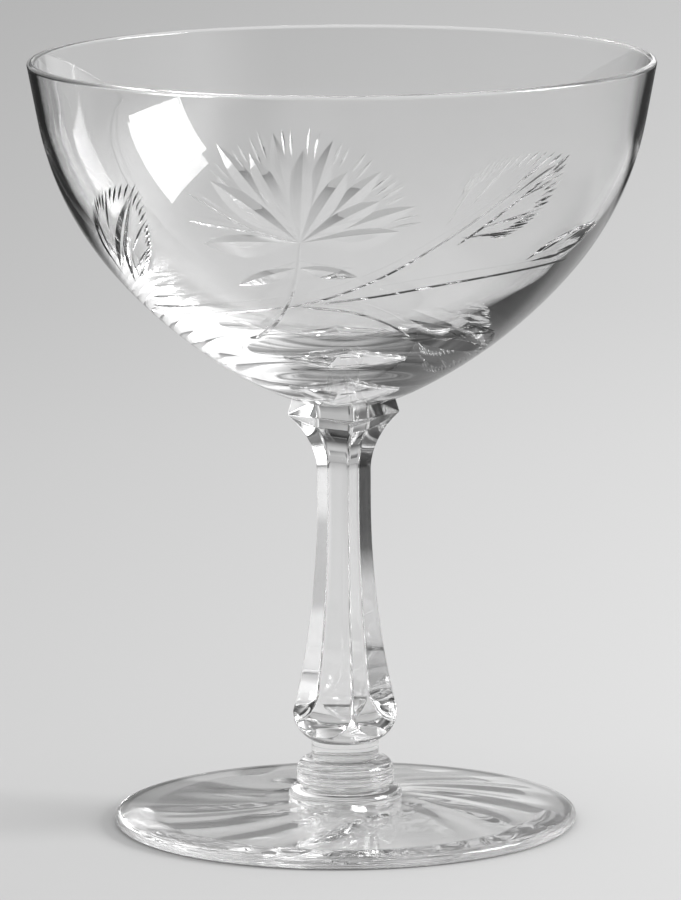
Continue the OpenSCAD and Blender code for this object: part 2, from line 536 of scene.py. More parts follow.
def profile_curve(name: str, points: np.ndarray) -> bpy.types.Object:
    """Makes a profile into a curve that a tree can read.

    Args:
        name: The curve's name.
        points: Radius and height of each point, in millimetres.

    Returns:
        The curve object.
    """
    data = bpy.data.curves.new(name, "CURVE")
    data.dimensions = "3D"
    spline = data.splines.new("POLY")
    spline.points.add(len(points) - 1)
    for corner, (radius, height) in zip(spline.points, points):
        corner.co = (radius * MM, 0.0, height * MM, 1.0)
    return new_object(name, data)


def settled(piece: bpy.types.Object, node: str) -> bpy.types.Object:
    """Gives a finished piece its place in the part.

    Args:
        piece: The finished object.
        node: The CAD node that it stands for.

    Returns:
        The same object.
    """
    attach(piece, BODY)
    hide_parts(node)
    faces = len(piece.data.polygons)
    log.info("%s stands for %s, %d faces", piece.name, node, faces)
    return piece


@dataclass(frozen=True)
class Glassware:
    """The finishes that the four gathers share."""

    fused: bpy.types.Material
    blown: bpy.types.Material
    pressed: bpy.types.Material
    tooled: bpy.types.Material
    spun: bpy.types.Material


@dataclass
class Turned:
    """A gather that is round about the axis: how finely its profile is turned."""

    segments: int = 192
    step: float = 0.5
    tolerance: float = 0.002
    crease: float = 40.0

    def turned(
        self, name: str, node: str, profile: Profile, lathe: bpy.types.GeometryNodeTree, inputs: dict
    ) -> bpy.types.Object:
        """Turns a profile into a finished piece.

        Args:
            name: The piece's name.
            node: The CAD node that it stands for.
            profile: The closed outline in radius and height.
            lathe: The tree that turns a profile.
            inputs: A value for each of the tree's other inputs, by name.

        Returns:
            The finished piece.
        """
        curve = profile_curve(name + "_profile", profile.sampled(self.step, self.tolerance))
        shared = {"Profile": curve, "Segments": self.segments, "Crease": math.radians(self.crease)}
        piece = grown(name, lathe, shared | inputs)
        drop(curve)
        return settled(piece, node)


@dataclass
class Foot(Turned):
    """The spun foot: a low cone with a round edge, a button in the middle and a flat cone hollowed under it.

    Its top has soft ripples: they swell from the button out to ripple_full and die out from ripple_stop,
    a share of the ring, to the edge.
    """

    width: float = 72.2
    edge: float = 2.0
    cone_top: float = 4.2
    button: float = 17.8
    button_rise: float = 1.8
    button_round: float = 1.7
    ring: float = 60.0
    hollow: float = 1.7
    hollow_flat: float = 5.0
    knop_seat: float = 13.2
    segments: int = 240
    step: float = 0.6
    ripple: float = 0.8
    ripple_count: float = 3.1
    ripple_swirl: float = 22.0
    ripple_full: float = 18.05
    ripple_stop: float = 0.85
    ripple_above: float = 1.2

    @property
    def top(self) -> float:
        """Height of the button, on which the knop sits."""
        return self.cone_top + self.button_rise

    def profile(self) -> Profile:
        """Draws the foot from the middle of its hollow, out and up to the middle of its button.

        Returns:
            The closed outline in radius and height.
        """
        edge_r = self.edge / 2
        rim = self.width / 2 - edge_r
        half_ring = self.ring / 2
        edge_end = math.degrees(math.atan2(rim - self.button / 2, self.cone_top - self.edge))
        cone_start = (
            rim + edge_r * math.cos(math.radians(edge_end)),
            edge_r + edge_r * math.sin(math.radians(edge_end)),
        )
        middle = self.button / 2 - self.button_round
        return Profile(
            (
                Line((0.0, self.hollow), (self.hollow_flat, self.hollow)),
                Line((self.hollow_flat, self.hollow), (half_ring, 0.0)),
                Line((half_ring, 0.0), (rim, 0.0)),
                Arc((rim, edge_r), edge_r, -90.0, edge_end),
                Line(cone_start, (self.button / 2, self.cone_top)),
                Line((self.button / 2, self.cone_top), (self.button / 2, self.top - self.button_round)),
                Arc((middle, self.top - self.button_round), self.button_round, 0.0, 90.0),
                Line((middle, self.top), (self.knop_seat / 2, self.top)),
                Line((self.knop_seat / 2, self.top), (0.0, self.top)),
            )
        )

    def build(self, lathe: bpy.types.GeometryNodeTree, glass: Glassware) -> bpy.types.Object:
        """Turns the foot.

        Args:
            lathe: The tree that turns a profile.
            glass: The finishes.

        Returns:
            The finished foot.
        """
        inputs = {
            "Ripple Depth": self.ripple * MM,
            "Ripple Count": self.ripple_count,
            "Ripple Swirl": self.ripple_swirl,
            "Ripple Inner": self.button / 2 * MM,
            "Ripple Outer": self.ripple_full * MM,
            "Ripple Fade": self.ring / 2 * self.ripple_stop * MM,
            "Ripple End": self.width / 2 * MM,
            "Ripple Above": self.ripple_above * MM,
            "Joint Radius": self.knop_seat / 2 * MM,
            "Joint High": (self.top - SKIN) * MM,
            "Glass": glass.spun,
            "Fused": glass.fused,
        }
        return self.turned("foot_spun", "foot", self.profile(), lathe, inputs)


@dataclass
class Knop(Turned):
    """The ringed knop: a short drum with rounded edges, fine grooves and a neck."""

    low: float = 6.0
    rise: float = 6.3
    width: float = 15.2
    neck: float = 10.5
    neck_rise: float = 1.9
    round_up: float = 2.2
    round_low: float = 1.0
    grooves: int = 5
    groove_drop: float = 0.92
    groove_pitch: float = 0.52
    groove_round: float = 0.15

    def profile(self) -> Profile:
        """Draws the knop from the middle of its underside to the middle of its neck.

        Returns:
            The closed outline in radius and height.
        """
        half = self.width / 2
        top = self.low + self.rise
        shoulder = top - self.neck_rise
        low_c = (half - self.round_low, self.low + self.round_low)
        up_c = (half - self.round_up, shoulder - self.round_up)
        parts: list[Arc | Line] = [
            Line((0.0, self.low), (low_c[0], self.low)),
            Arc(low_c, self.round_low, -90.0, 0.0),
        ]
        here, turned = low_c[1], 0.0
        bite = 2 * math.degrees(math.asin(self.groove_round / (2 * self.round_up)))
        for i in reversed(range(self.grooves)):
            over = shoulder - self.groove_drop - i * self.groove_pitch - up_c[1]
            if over <= self.groove_round:
                middle = (half, up_c[1] + min(over, -self.groove_round))
                parts.append(Line((half, here), (half, middle[1] - self.groove_round)))
                parts.append(Arc(middle, self.groove_round, 270.0, 90.0))
                here = middle[1] + self.groove_round
                continue
            if here < up_c[1]:
                parts.append(Line((half, here), (half, up_c[1])))
                here = up_c[1]
            turn = math.degrees(math.asin(over / self.round_up))
            way = np.array([math.cos(math.radians(turn)), math.sin(math.radians(turn))])
            parts.append(Arc(up_c, self.round_up, turned, turn - bite))
            parts.append(
                Arc(
                    tuple(np.array(up_c) + self.round_up * way),
                    self.groove_round,
                    turn + 270.0 - bite / 2,
                    turn + 90.0 + bite / 2,
                )
            )
            turned = turn + bite
        parts += [
            Arc(up_c, self.round_up, turned, 90.0),
            Line((up_c[0], shoulder), (self.neck / 2, shoulder)),
            Line((self.neck / 2, shoulder), (self.neck / 2, top)),
            Line((self.neck / 2, top), (0.0, top)),
        ]
        return Profile(tuple(parts))

    def build(self, lathe: bpy.types.GeometryNodeTree, glass: Glassware) -> bpy.types.Object:
        """Turns the knop.

        Args:
            lathe: The tree that turns a profile.
            glass: The finishes.

        Returns:
            The finished knop.
        """
        inputs = {
            "Joint Radius": (self.width / 2 - self.round_low) * MM,
            "Joint Low": (self.low + SKIN) * MM,
            "Joint High": (self.low + self.rise - SKIN) * MM,
            "Glass": glass.tooled,
            "Fused": glass.fused,
        }
        return self.turned("knop_ringed", "knop", self.profile(), lathe, inputs)


@dataclass
class Bowl:
    """The blown bowl: a straight flared lip, a shoulder, a belly and a round base."""

    height: float = 120.0
    rim: float = 97.4
    lip: float = 9.2
    lean: float = 10.6
    shoulder: float = 49.9
    slope: float = 50.0
    belly: float = 76.5
    base: float = 26.0
    wall: float = 1.2
    belly_wall: float = 1.9
    base_wall: float = 6.4
    base_inside: float = 20.0
    columns: int = 240
    row: float = 1.3

    def __post_init__(self) -> None:
        """Works out the centres that the curves share."""
        lean, turn = math.radians(self.lean), math.radians(self.slope - 90)
        self.turn = self.slope - 90
        self.lip_low = np.array([self.rim / 2 - self.lip * math.tan(lean), self.height - self.lip])
        self.shoulder_c = self.lip_low - self.shoulder * np.array([math.cos(lean), -math.sin(lean)])
        way = np.array([math.cos(turn), math.sin(turn)])
        self.belly_c = self.shoulder_c + (self.shoulder - self.belly) * way
        self.base_turn = -math.degrees(math.acos(-self.belly_c[0] / (self.belly - self.base)))
        under = math.radians(self.base_turn)
        self.base_c = self.belly_c + (self.belly - self.base) * np.array([math.cos(under), math.sin(under)])
        self.base_c[0] = 0.0
        self.low = self.base_c[1] - self.base

    def outside(self) -> Profile:
        """Draws the outside from the axis up to the round of the rim.

        Returns:
            The outer curve in radius and height.
        """
        lean = math.radians(self.lean)
        rim_c = self.rim_centre()
        lip_top = rim_c + self.wall / 2 * np.array([math.cos(lean), -math.sin(lean)])
        return Profile(
            (
                Arc(tuple(self.base_c), self.base, -90.0, self.base_turn),
                Arc(tuple(self.belly_c), self.belly, self.base_turn, self.turn),
                Arc(tuple(self.shoulder_c), self.shoulder, self.turn, -self.lean),
                Line(tuple(self.lip_low), tuple(lip_top)),
            )
        )

    def rim_centre(self) -> np.ndarray:
        """Finds the middle of the fire-polished round of the rim.

        Returns:
            Its radius and height.
        """
        lean = math.radians(self.lean)
        r = self.wall / 2
        return np.array([self.rim / 2 - r * math.tan(lean) - r / math.cos(lean), self.height - r])

    def inside(self) -> Profile:
        """Draws the rim's round and the inside down to the axis.

        Returns:
            The inner curve in radius and height.
        """
        lean, turn = math.radians(self.lean), math.radians(self.turn)
        rim_c = self.rim_centre()
        r = self.wall / 2
        out = np.array([math.cos(lean), -math.sin(lean)])
        inset = (self.belly_wall - self.wall) / (1 - math.cos(lean + turn))
        inner = self.shoulder - self.wall - inset
        shoulder_c = self.shoulder_c + inset * out
        way = np.array([math.cos(turn), math.sin(turn)])
        joint = shoulder_c + inner * way
        base_c = np.array([0.0, self.low + self.base_wall + self.base_inside])
        span = base_c - joint
        belly = (self.base_inside**2 - span @ span) / (2 * (span @ way + self.base_inside))
        belly_c = joint - belly * way
        under = -math.degrees(math.acos(-belly_c[0] / (belly - self.base_inside)))
        lip_in = rim_c - r * out
        lip_low = shoulder_c + inner * out
        return Profile(
            (
                Arc(tuple(rim_c), r, -self.lean, 180.0 - self.lean),
                Line(tuple(lip_in), tuple(lip_low)),
                Arc(tuple(shoulder_c), inner, -self.lean, self.turn),
                Arc(tuple(belly_c), belly, self.turn, under),
                Arc(tuple(base_c), self.base_inside, under, -90.0),
            )
        )

    def bed(self, radius: np.ndarray) -> np.ndarray:
        """Height of the round base at a distance from the axis."""
        return self.base_c[1] - np.sqrt(np.maximum(self.base**2 - radius**2, 0.0))


@dataclass
class Stem:
    """The pressed stem: a square seat, a hollow sweep, a waist and long panels scooped into a bulb."""

    bowl: Bowl
    low: float = 12.3
    seat: float = 12.7
    seat_lean: float = 12.0
    seat_drop: float = 1.2
    seat_reach: float = 3.2
    sweep: float = 9.1
    waist: float = 6.25
    waist_rise: float = 4.5
    bulb: float = 16.4
    bulb_rise: float = 5.5
    bulb_up: float = 13.0
    bulb_low: float = 5.2
    scoop_rise: float = 2.2
    scoop: float = 40.0
    panel_lap: float = 1.0
    neck: float = 10.5
    corner_lap: float = 0.2
    corner_round: float = 0.45
    seat_round: float = 0.35
    panels: int = 4
    flat_steps: int = 6
    flat_end: float = 0.96
    round_steps: int = 4
    bulb_steps: int = 8
    seat_steps: int = 7
    cap_steps: int = 4
    tip_near: float = 0.6
    tip_search: int = 500
    low_rows: int = 14
    tip_rows: int = 16
    scoop_rows: int = 24
    scoop_over: float = 1.0
    row_step: float = 1.0
    row_tolerance: float = 0.002
    fine_step: float = 0.1
    fine_tolerance: float = 0.0005
    rounds: int = 60

    def __post_init__(self) -> None:
        """Works out the heights and the curve of a panel, as half widths across the flats."""
        self.seat_z = self.bowl.low - self.seat_drop
        self.waist_top = self.seat_z - self.sweep
        self.waist_low = self.waist_top - self.waist_rise
        self.bulb_z = self.low + self.bulb_rise
        self.scoop_z = self.bulb_z + self.scoop_rise
        half, waist = self.seat / 2, self.waist / 2
        gain = half - waist
        sweep_r = (gain**2 + self.sweep**2) / (2 * gain)
        sweep_turn = 180 - math.degrees(math.asin(self.sweep / sweep_r))
        out = self.bulb / 2 - self.bulb_up + math.sqrt(self.bulb_up**2 - self.scoop_rise**2)
        scoop_half = (out - self.corner_lap) / math.sqrt(2)
        fall = self.waist_low - self.scoop_z
        gain = scoop_half - waist
        panel_r = (gain**2 + fall**2) / (2 * gain)
        panel_turn = 180 + math.degrees(math.asin(fall / panel_r))
        way = np.array([math.cos(math.radians(panel_turn)), math.sin(math.radians(panel_turn))])
        scoop_c = np.array([scoop_half, self.scoop_z]) - self.scoop * way
        scoop_fall = scoop_c[1] - self.low + self.panel_lap
        scoop_end = 180 + math.degrees(math.asin(scoop_fall / self.scoop))
        up = np.array([math.sin(math.radians(180 - sweep_turn)), math.cos(math.radians(180 - sweep_turn))])
        lean = math.radians(self.seat_lean)
        on = np.array([-math.sin(lean), math.cos(lean)])
        bend = math.acos(float(up @ on)) / 2
        edge = np.array([half, self.seat_z])
        cut = self.seat_round * math.tan(bend)
        turn_in = math.degrees(math.atan2(-up[0], up[1]))
        edge_c = edge + cut * on - self.seat_round * np.array([math.cos(lean), math.sin(lean)])
        sweep_end = 180 - math.degrees(math.asin((self.sweep - cut * up[1]) / sweep_r))
        seat_top = edge + (self.seat_reach + self.seat_drop) / math.cos(lean) * on
        self.curve = Profile(
            (
                Arc(tuple(scoop_c), self.scoop, scoop_end, panel_turn),
                Arc((waist + panel_r, self.waist_low), panel_r, panel_turn, 180.0),
                Line((waist, self.waist_low), (waist, self.waist_top)),
                Arc((waist + sweep_r, self.waist_top), sweep_r, 180.0, sweep_end),
                Arc(tuple(edge_c), self.seat_round, turn_in, self.seat_lean),
                Line(tuple(edge + cut * on), tuple(seat_top)),
            )
        )
        table = self.curve.sampled(self.fine_step, self.fine_tolerance)
        self.panel_z, self.panel_half = table[:, 1], table[:, 0]

    def half_at(self, z: np.ndarray) -> np.ndarray:
        """Half width across the flats at a height."""
        return np.interp(z, self.panel_z, self.panel_half)

    def round_at(self, z: np.ndarray) -> np.ndarray:
        """Finds how far out the round bulb and neck reach.

        Args:
            z: Heights.

        Returns:
            The radius at each height, far out above the bulb.
        """
        up_c, low_c = self.bulb / 2 - self.bulb_up, self.bulb / 2 - self.bulb_low
        above = up_c + np.sqrt(np.maximum(self.bulb_up**2 - (z - self.bulb_z) ** 2, 0.0))
        below = low_c + np.sqrt(np.maximum(self.bulb_low**2 - (z - self.bulb_z) ** 2, 0.0))
        bulb = np.where(z > self.bulb_z, above, np.maximum(below, self.neck / 2))
        return np.where(z > self.scoop_z, self.bulb, bulb)

    def section(self, z: np.ndarray) -> np.ndarray:
        """Cuts the stem level at each height.

        Args:
            z: One height for each column, or one row of them for each height.

        Returns:
            Distance out from the axis and to the side, for each column of one panel.
        """
        radius = self.round_at(z)
        half = np.minimum(self.half_at(z), radius)
        soft = self.corner_round
        on_round = np.sqrt(np.maximum((radius - soft) ** 2 - (half - soft) ** 2, 0.0))
        side = np.minimum(half - soft, on_round)
        corner = np.arctan2(side, half - soft)
        reach = np.hypot(half - soft, side) + soft
        kinds, shares = self.column_shares()
        size, share = np.abs(shares), np.sign(shares)
        flat, bent = kinds == 0, kinds == 1
        turn_soft = size * corner
        turn_round = corner + size * (math.pi / 4 - corner)
        out = np.where(flat, half, half - soft + soft * np.cos(turn_soft))
        across = np.where(flat, size * side, side + soft * np.sin(turn_soft))
        out = np.where(flat | bent, out, reach * np.cos(turn_round))
        across = np.where(flat | bent, across, reach * np.sin(turn_round))
        return np.stack([out, share * across], axis=-1)

    def column_shares(self) -> tuple[np.ndarray, np.ndarray]:
        """Shares out the columns of one panel, from its left corner to its right one.

        Returns:
            The kind of each column, 0 on the flat, 1 on the soft edge and 2 on the bulb, and its
            share of that part, with the side as its sign.
        """
        flat = list(np.linspace(0.0, self.flat_end, self.flat_steps)) + [1.0]
        right = [(0, f) for f in flat[1:]]
        right += [(1, i / self.round_steps) for i in range(1, self.round_steps + 1)]
        right += [(2, i / self.bulb_steps) for i in range(1, self.bulb_steps + 1)]
        columns = [(k, -f) for k, f in reversed(right)] + [(0, 0.0)] + right
        return np.array([c[0] for c in columns]), np.array([c[1] for c in columns])

    def rows(self) -> np.ndarray:
        """Spreads the rows, close together where the shape turns.

        Returns:
            Heights of the rows below the seat's edge, from the lowest.
        """
        down = np.linspace(self.low, self.bulb_z, self.tip_search)
        tip = down[np.argmax(self.half_at(down) < self.round_at(down))]
        above = self.scoop_z + self.scoop_over
        heights = (self.low, tip - self.tip_near, tip + self.tip_near, above)
        counts = (self.low_rows, self.tip_rows, self.scoop_rows)
        parts = zip(heights, heights[1:], counts)
        bulb = [np.linspace(start, end, count, endpoint=False) for start, end, count in parts]
        upper = self.curve.sampled(self.row_step, self.row_tolerance)[:, 1]
        return np.concatenate([*bulb, upper[upper > above][:-1]])

    def outline(self, angle: np.ndarray) -> np.ndarray:
        """Radius of the seat's upper edge on the bowl, at angles from a panel's middle.

        Args:
            angle: Angles about the axis, in radians.

        Returns:
            The radius at each angle.
        """
        quarter = math.pi / 2
        away = np.abs((angle + quarter / 2) % quarter - quarter / 2)
        radius = np.full_like(away, self.seat / 2)
        soft = self.corner_round
        for _ in range(self.rounds):
            half = self.half_at(self.bowl.bed(radius))
            straight = half / np.cos(away)
            mid = (half - soft) * math.sqrt(2)
            off = math.pi / 4 - away
            corner = mid * np.cos(off) + np.sqrt(np.maximum(soft**2 - (mid * np.sin(off)) ** 2, 0.0))
            radius = np.where(straight * np.sin(away) > half - soft, corner, straight)
        return radius

    def panel(self) -> bpy.types.Object:
        """Builds one panel with its share of the neck's underside and of the bed for the bowl.

        Returns:
            The panel, facing along X, with its fused faces marked.
        """
        rows = self.rows()
        columns = len(self.column_shares()[0])
        body = self.section(rows[:, None])
        heights = np.repeat(rows[:, None], columns, axis=1)
        low = rows[-1]
        top = np.full(columns, self.bowl.low)
        for _ in range(self.rounds):
            end = self.section(top)
            top = self.bowl.bed(np.hypot(end[:, 0], end[:, 1]))
        seat_z = low + (top - low) * np.linspace(0, 1, self.seat_steps + 1)[1:, None]
        seat = self.section(seat_z)
        shrink = np.linspace(1, 0, self.cap_steps + 1)[1:, None, None]
        under = body[:1] * shrink[::-1]
        over = seat[-1:] * shrink
        bed = self.bowl.bed(np.hypot(over[..., 0], over[..., 1]))
        flat = np.concatenate([under, body, seat, over])
        height = np.concatenate([np.full(under.shape[:2], self.low), heights, seat_z, bed])
        verts = np.concatenate([flat, height[..., None]], axis=-1).reshape(-1, 3) * MM
        count = len(flat)
        index = np.arange(count * columns).reshape(count, columns)
        corners = (index[:-1, :-1], index[:-1, 1:], index[1:, 1:], index[1:, :-1])
        faces = np.stack(corners, axis=-1).reshape(-1, 4)
        fused = np.zeros((count - 1, columns - 1), bool)
        fused[: len(under)] = True
        fused[-len(over) :] = True
        mesh = bpy.data.meshes.new("stem_panel")
        mesh.from_pydata(verts.tolist(), [], faces.tolist())
        mesh.attributes.new(FUSED_FLAG, "BOOLEAN", "FACE").data.foreach_set("value", fused.ravel())
        made = new_object("stem_panel", mesh)
        made.data.transform(Matrix.Rotation(-math.pi / 4, 4, "Z"))
        return made

    def build(self, tree: bpy.types.GeometryNodeTree, glass: Glassware) -> bpy.types.Object:
        """Repeats the panel into the whole stem.

        Args:
            tree: The tree that repeats a panel.
            glass: The finishes.

        Returns:
            The finished stem.
        """
        panel = self.panel()
        piece = grown(
            "stem_pressed",
            tree,
            {"Panel": panel, "Panels": self.panels, "Glass": glass.pressed, "Fused": glass.fused},
        )
        drop(panel)
        return settled(piece, "stem")


@dataclass
class FlatWall:
    """The bowl's outer wall rolled out flat: angles stay true, and lengths shrink by the radius.

    Across is the turn about the axis, in radians. Up is the run along the profile, each step of it
    divided by the radius there.
    """

    profile: Profile
    first: float = 10.0
    fine: int = 6000

    def __post_init__(self) -> None:
        """Tabulates the rise against the run along the profile."""
        self.run = np.linspace(self.first, self.profile.length, self.fine)
        self.radius = self.profile.at(self.run)[0][:, 0]
        rate = 1 / self.radius
        steps = np.diff(self.run) * (rate[1:] + rate[:-1]) / 2
        self.rise = np.concatenate([[0.0], np.cumsum(steps)])

    def up(self, run: np.ndarray) -> np.ndarray:
        """Height on the flat wall for runs along the profile."""
        return np.interp(run, self.run, self.rise)

    def run_at(self, up: np.ndarray) -> np.ndarray:
        """Runs along the profile for heights on the flat wall."""
        return np.interp(up, self.rise, self.run)

    def scale(self, up: np.ndarray) -> np.ndarray:
        """Millimetres for one unit of the flat wall, at a height on it."""
        return np.interp(up, self.rise, self.radius)


class CutKind(Enum):
    """What the wheel leaves in the glass, with the slope of the cut's two sides."""

    PETAL = 0.25
    BLADE = 0.36
    DEEP = 0.7
    LINE = 0.5
    TICK = 0.6


@dataclass(frozen=True)
class Cut:
    """One pass of the cutter's wheel: a V-shaped groove along a path on the flat wall.

    The half widths to the left and the right of the path are in millimetres.
    """

    kind: CutKind
    path: np.ndarray
    left: np.ndarray
    right: np.ndarray

    @property
    def depth(self) -> np.ndarray:
        """Depth of the groove at each point of its path."""
        return self.kind.value * (self.left + self.right) / 2

    def sides(self, wall: FlatWall) -> list[np.ndarray]:
        """Draws the two edges of the groove and its bottom line.

        Args:
            wall: The flat wall.

        Returns:
            Three lines of points on the flat wall, which share their ends where the cut is pointed.
        """
        along = np.gradient(self.path, axis=0)
        along /= np.linalg.norm(along, axis=1, keepdims=True)
        off = np.stack([-along[:, 1], along[:, 0]], axis=-1) / wall.scale(self.path[:, 1])[:, None]
        return [self.path + off * self.left[:, None], self.path, self.path - off * self.right[:, None]]

    def dig(self, spots: np.ndarray, scale: np.ndarray) -> tuple[np.ndarray, np.ndarray]:
        """Works out how deep this cut goes at points of the flat wall.

        Args:
            spots: The points.
            scale: Millimetres for one unit of the flat wall at each of them.

        Returns:
            The depth, below zero outside the cut, and whether each point lies to the left.
        """
        start, way = self.path[:-1], np.diff(self.path, axis=0)
        gap = spots[:, None] - start
        share = np.clip((gap * way).sum(-1) / (way * way).sum(-1), 0.0, 1.0)
        off = gap - share[..., None] * way
        far = np.linalg.norm(off, axis=-1)
        pick = far.argmin(axis=1)
        here = np.arange(len(spots))
        place = pick + share[here, pick]
        on_left = way[pick, 0] * off[here, pick, 1] > way[pick, 1] * off[here, pick, 0]
        steps = np.arange(len(self.path))
        half = np.where(on_left, np.interp(place, steps, self.left), np.interp(place, steps, self.right))
        deep = np.interp(place, steps, self.depth)
        return deep * (1 - far[here, pick] * scale / np.maximum(half, TINY)), on_left


@dataclass(frozen=True)
class Leaf:
    """A feathered leaf: fine ticks along two margins, a few long veins and wide blades.

    Places are given as the turn from the flower's middle, in degrees, and the rise in millimetres.
    """

    base: Point
    tip: Point
    over: Point
    under: Point
    ticks: int = 15
    tick: float = 3.2
    from_share: float = 0.35
    vein_every: int = 5
    vein: float = 2.4
    blades: tuple[float, ...] = (0.0,)
    blade_from: float = 0.55
    blade_to: float = 0.96
    blade_width: float = 1.1
    blade_kind: CutKind = CutKind.BLADE


@dataclass
class Spray:
    """The wheel-cut spray on the front: a fan-shaped flower, its stem, branches and feathered leaves.

    Places are given as the turn from the flower's middle, in degrees, and the rise in millimetres.
    Petals are given by their direction, anticlockwise from the right, and their length.
    """

    wall: FlatWall
    flower_turn: float = -17.2
    flower_run: float = 54.65
    petals: tuple[Point, ...] = (
        (7.0, 15.3),
        (30.0, 14.4),
        (57.0, 14.5),
        (85.0, 15.5),
        (115.0, 16.2),
        (143.0, 16.9),
        (183.0, 15.5),
    )
    petal_width: float = 4.3
    petal_widest: float = 0.57
    level_petals: tuple[int, ...] = (0, 6)
    level_lean: float = 0.22
    back_petals: tuple[Point, ...] = ((19.0, 18.9), (43.0, 17.7), (71.0, 18.0), (100.0, 18.4), (127.0, 20.0))
    back_width: float = 2.9
    back_from: float = 4.5
    tick_turns: tuple[float, ...] = (11.5, 7.0, -4.6, -8.6)
    tick_span: Span = (14.2, 18.6)
    tick_width: float = 0.5
    tick_stray: float = 0.7
    tick_vary: Span = (0.75, 1.3)
    tick_most: float = 0.9
    lens_step: float = 0.35
    lens_count: tuple[int, int] = (4, 16)
    line_step: float = 0.9
    line_count: int = 6
    line_fade: float = 2.5
    line_width: float = 0.5
    stem_width: float = 0.75
    antenna: tuple[Point, ...] = ((156.0, 19.2), (170.0, 17.9))
    antenna_fork: Point = (166.0, 5.4)
    stem: tuple[Point, ...] = ((0, 0), (-1, -5), (-3, -9.5), (-5.5, -13), (-11, -18), (-19, -22))
    sepal_base: Point = (-1.2, -4.8)
    sepals: tuple[Point, ...] = ((-16.0, -8.8), (12.0, -6.5))
    sepal_width: float = 2.5
    branches: tuple[tuple[Point, ...], ...] = (
        ((-5.5, -13.3), (-19, -15), (-43, -17.6), (-62, -18.5)),
        ((-5.5, -13.5), (5.4, -11), (16.7, -7), (29, -0.7), (45, 8.7)),
        ((3.0, -12.4), (17.5, -10.7), (31.6, -8.9), (50.5, -7.5), (71, -6.8)),
        ((-2.0, -13.1), (11.5, -14.5), (20.7, -17.3), (28.9, -21.1)),
        ((32.7, -1.2), (44.0, 5.6), (56.0, 12.6)),
    )
    leaves: tuple[Leaf, ...] = (
        Leaf((28.0, 0.0), (56.0, 12.6), (30.0, 18.0), (53.0, -4.5), from_share=0.4, tick=3.8, vein=2.8),
        Leaf(
            (-57.0, -13.5),
            (-34.2, 8.7),
            (-60.4, 6.4),
            (-28.4, -5.6),
            ticks=18,
            tick=3.6,
            from_share=0.3,
            blades=(-0.06, 0.05),
            blade_from=0.15,
            blade_width=1.8,
        ),
        Leaf(
            (19.0, -19.4),
            (76.0, -28.5),
            (59.3, -16.0),
            (52.5, -42.0),
            from_share=0.45,
            blades=(-0.07, 0.01),
            blade_from=0.12,
            blade_to=0.97,
            blade_width=3.0,
            blade_kind=CutKind.DEEP,
        ),
        Leaf((52.0, -5.9), (77.0, -0.2), (60.0, 0.6), (72.0, -6.6)),
    )
    seed: int = 7

    def __post_init__(self) -> None:
        """Makes every cut, in the order in which the wheel would."""
        self.random = np.random.default_rng(self.seed)
        self.cuts = [*self.flower(), *self.branching()]
        for leaf in self.leaves:
            self.cuts += self.feathered(leaf)

    def at(self, places: Sequence[Point]) -> np.ndarray:
        """Puts places on the flat wall.

        Args:
            places: Turns in degrees and rises in millimetres from the flower's middle.

        Returns:
            The points on the flat wall.
        """
        turn, rise = np.asarray(places, float).T
        return np.stack([np.radians(turn + self.flower_turn), self.wall.up(self.flower_run + rise)], axis=-1)

    def ray(self, direction: float, length: float) -> Point:
        """Finds a place at a direction and a distance from the flower's middle.

        Args:
            direction: Degrees anticlockwise from the right.
            length: The distance.

        Returns:
            The place, as turn and rise.
        """
        x, y = length * math.cos(math.radians(direction)), length * math.sin(math.radians(direction))
        radius = float(self.wall.scale(self.wall.up(self.flower_run + y)))
        return math.degrees(x / radius), y

    def lens(
        self, kind: CutKind, start: Point, end: Point, width: float, widest: float = 0.5, lean: float = 0.0
    ) -> Cut:
        """Makes a straight cut that is pointed at both ends.

        Args:
            kind: What the wheel leaves.
            start: Where it starts.
            end: Where it ends.
            width: Its full width.
            widest: Where along it the cut is widest.
            lean: How much wider the right side is than the left one.

        Returns:
            The cut.
        """
        ends = self.at([start, end])
        size = np.linalg.norm(ends[1] - ends[0]) * float(self.wall.scale(ends[:, 1].mean()))
        count = int(np.clip(size / (self.lens_step * width), *self.lens_count)) + 1
        share = np.linspace(0, 1, count)
        path = ends[0] + share[:, None] * (ends[1] - ends[0])
        swell = np.sin(math.pi * share ** (math.log(HALF) / math.log(widest))) * width / 2
        swell[[0, -1]] = 0.0
        return Cut(kind, path, swell * (1 - lean), swell * (1 + lean))

    def line(self, places: Sequence[Point], width: float) -> Cut:
        """Makes a long thin cut through places, thinner at both ends.

        Args:
            places: What it passes through.
            width: Its full width.

        Returns:
            The cut.
        """
        knots = self.at(places)
        steps = np.linalg.norm(np.diff(knots, axis=0), axis=1) * float(self.wall.scale(knots[:, 1].mean()))
        where = np.concatenate([[0.0], np.cumsum(steps)])
        count = max(self.line_count, int(where[-1] / self.line_step))
        share = np.linspace(0, where[-1], count + 1)
        path = np.stack([smooth_curve(where, knots[:, i], share) for i in (0, 1)], axis=-1)
        fade = np.minimum(1.0, np.minimum(share, where[-1] - share) / self.line_fade)
        half = np.sqrt(fade) * width / 2
        return Cut(CutKind.LINE, path, half, half)

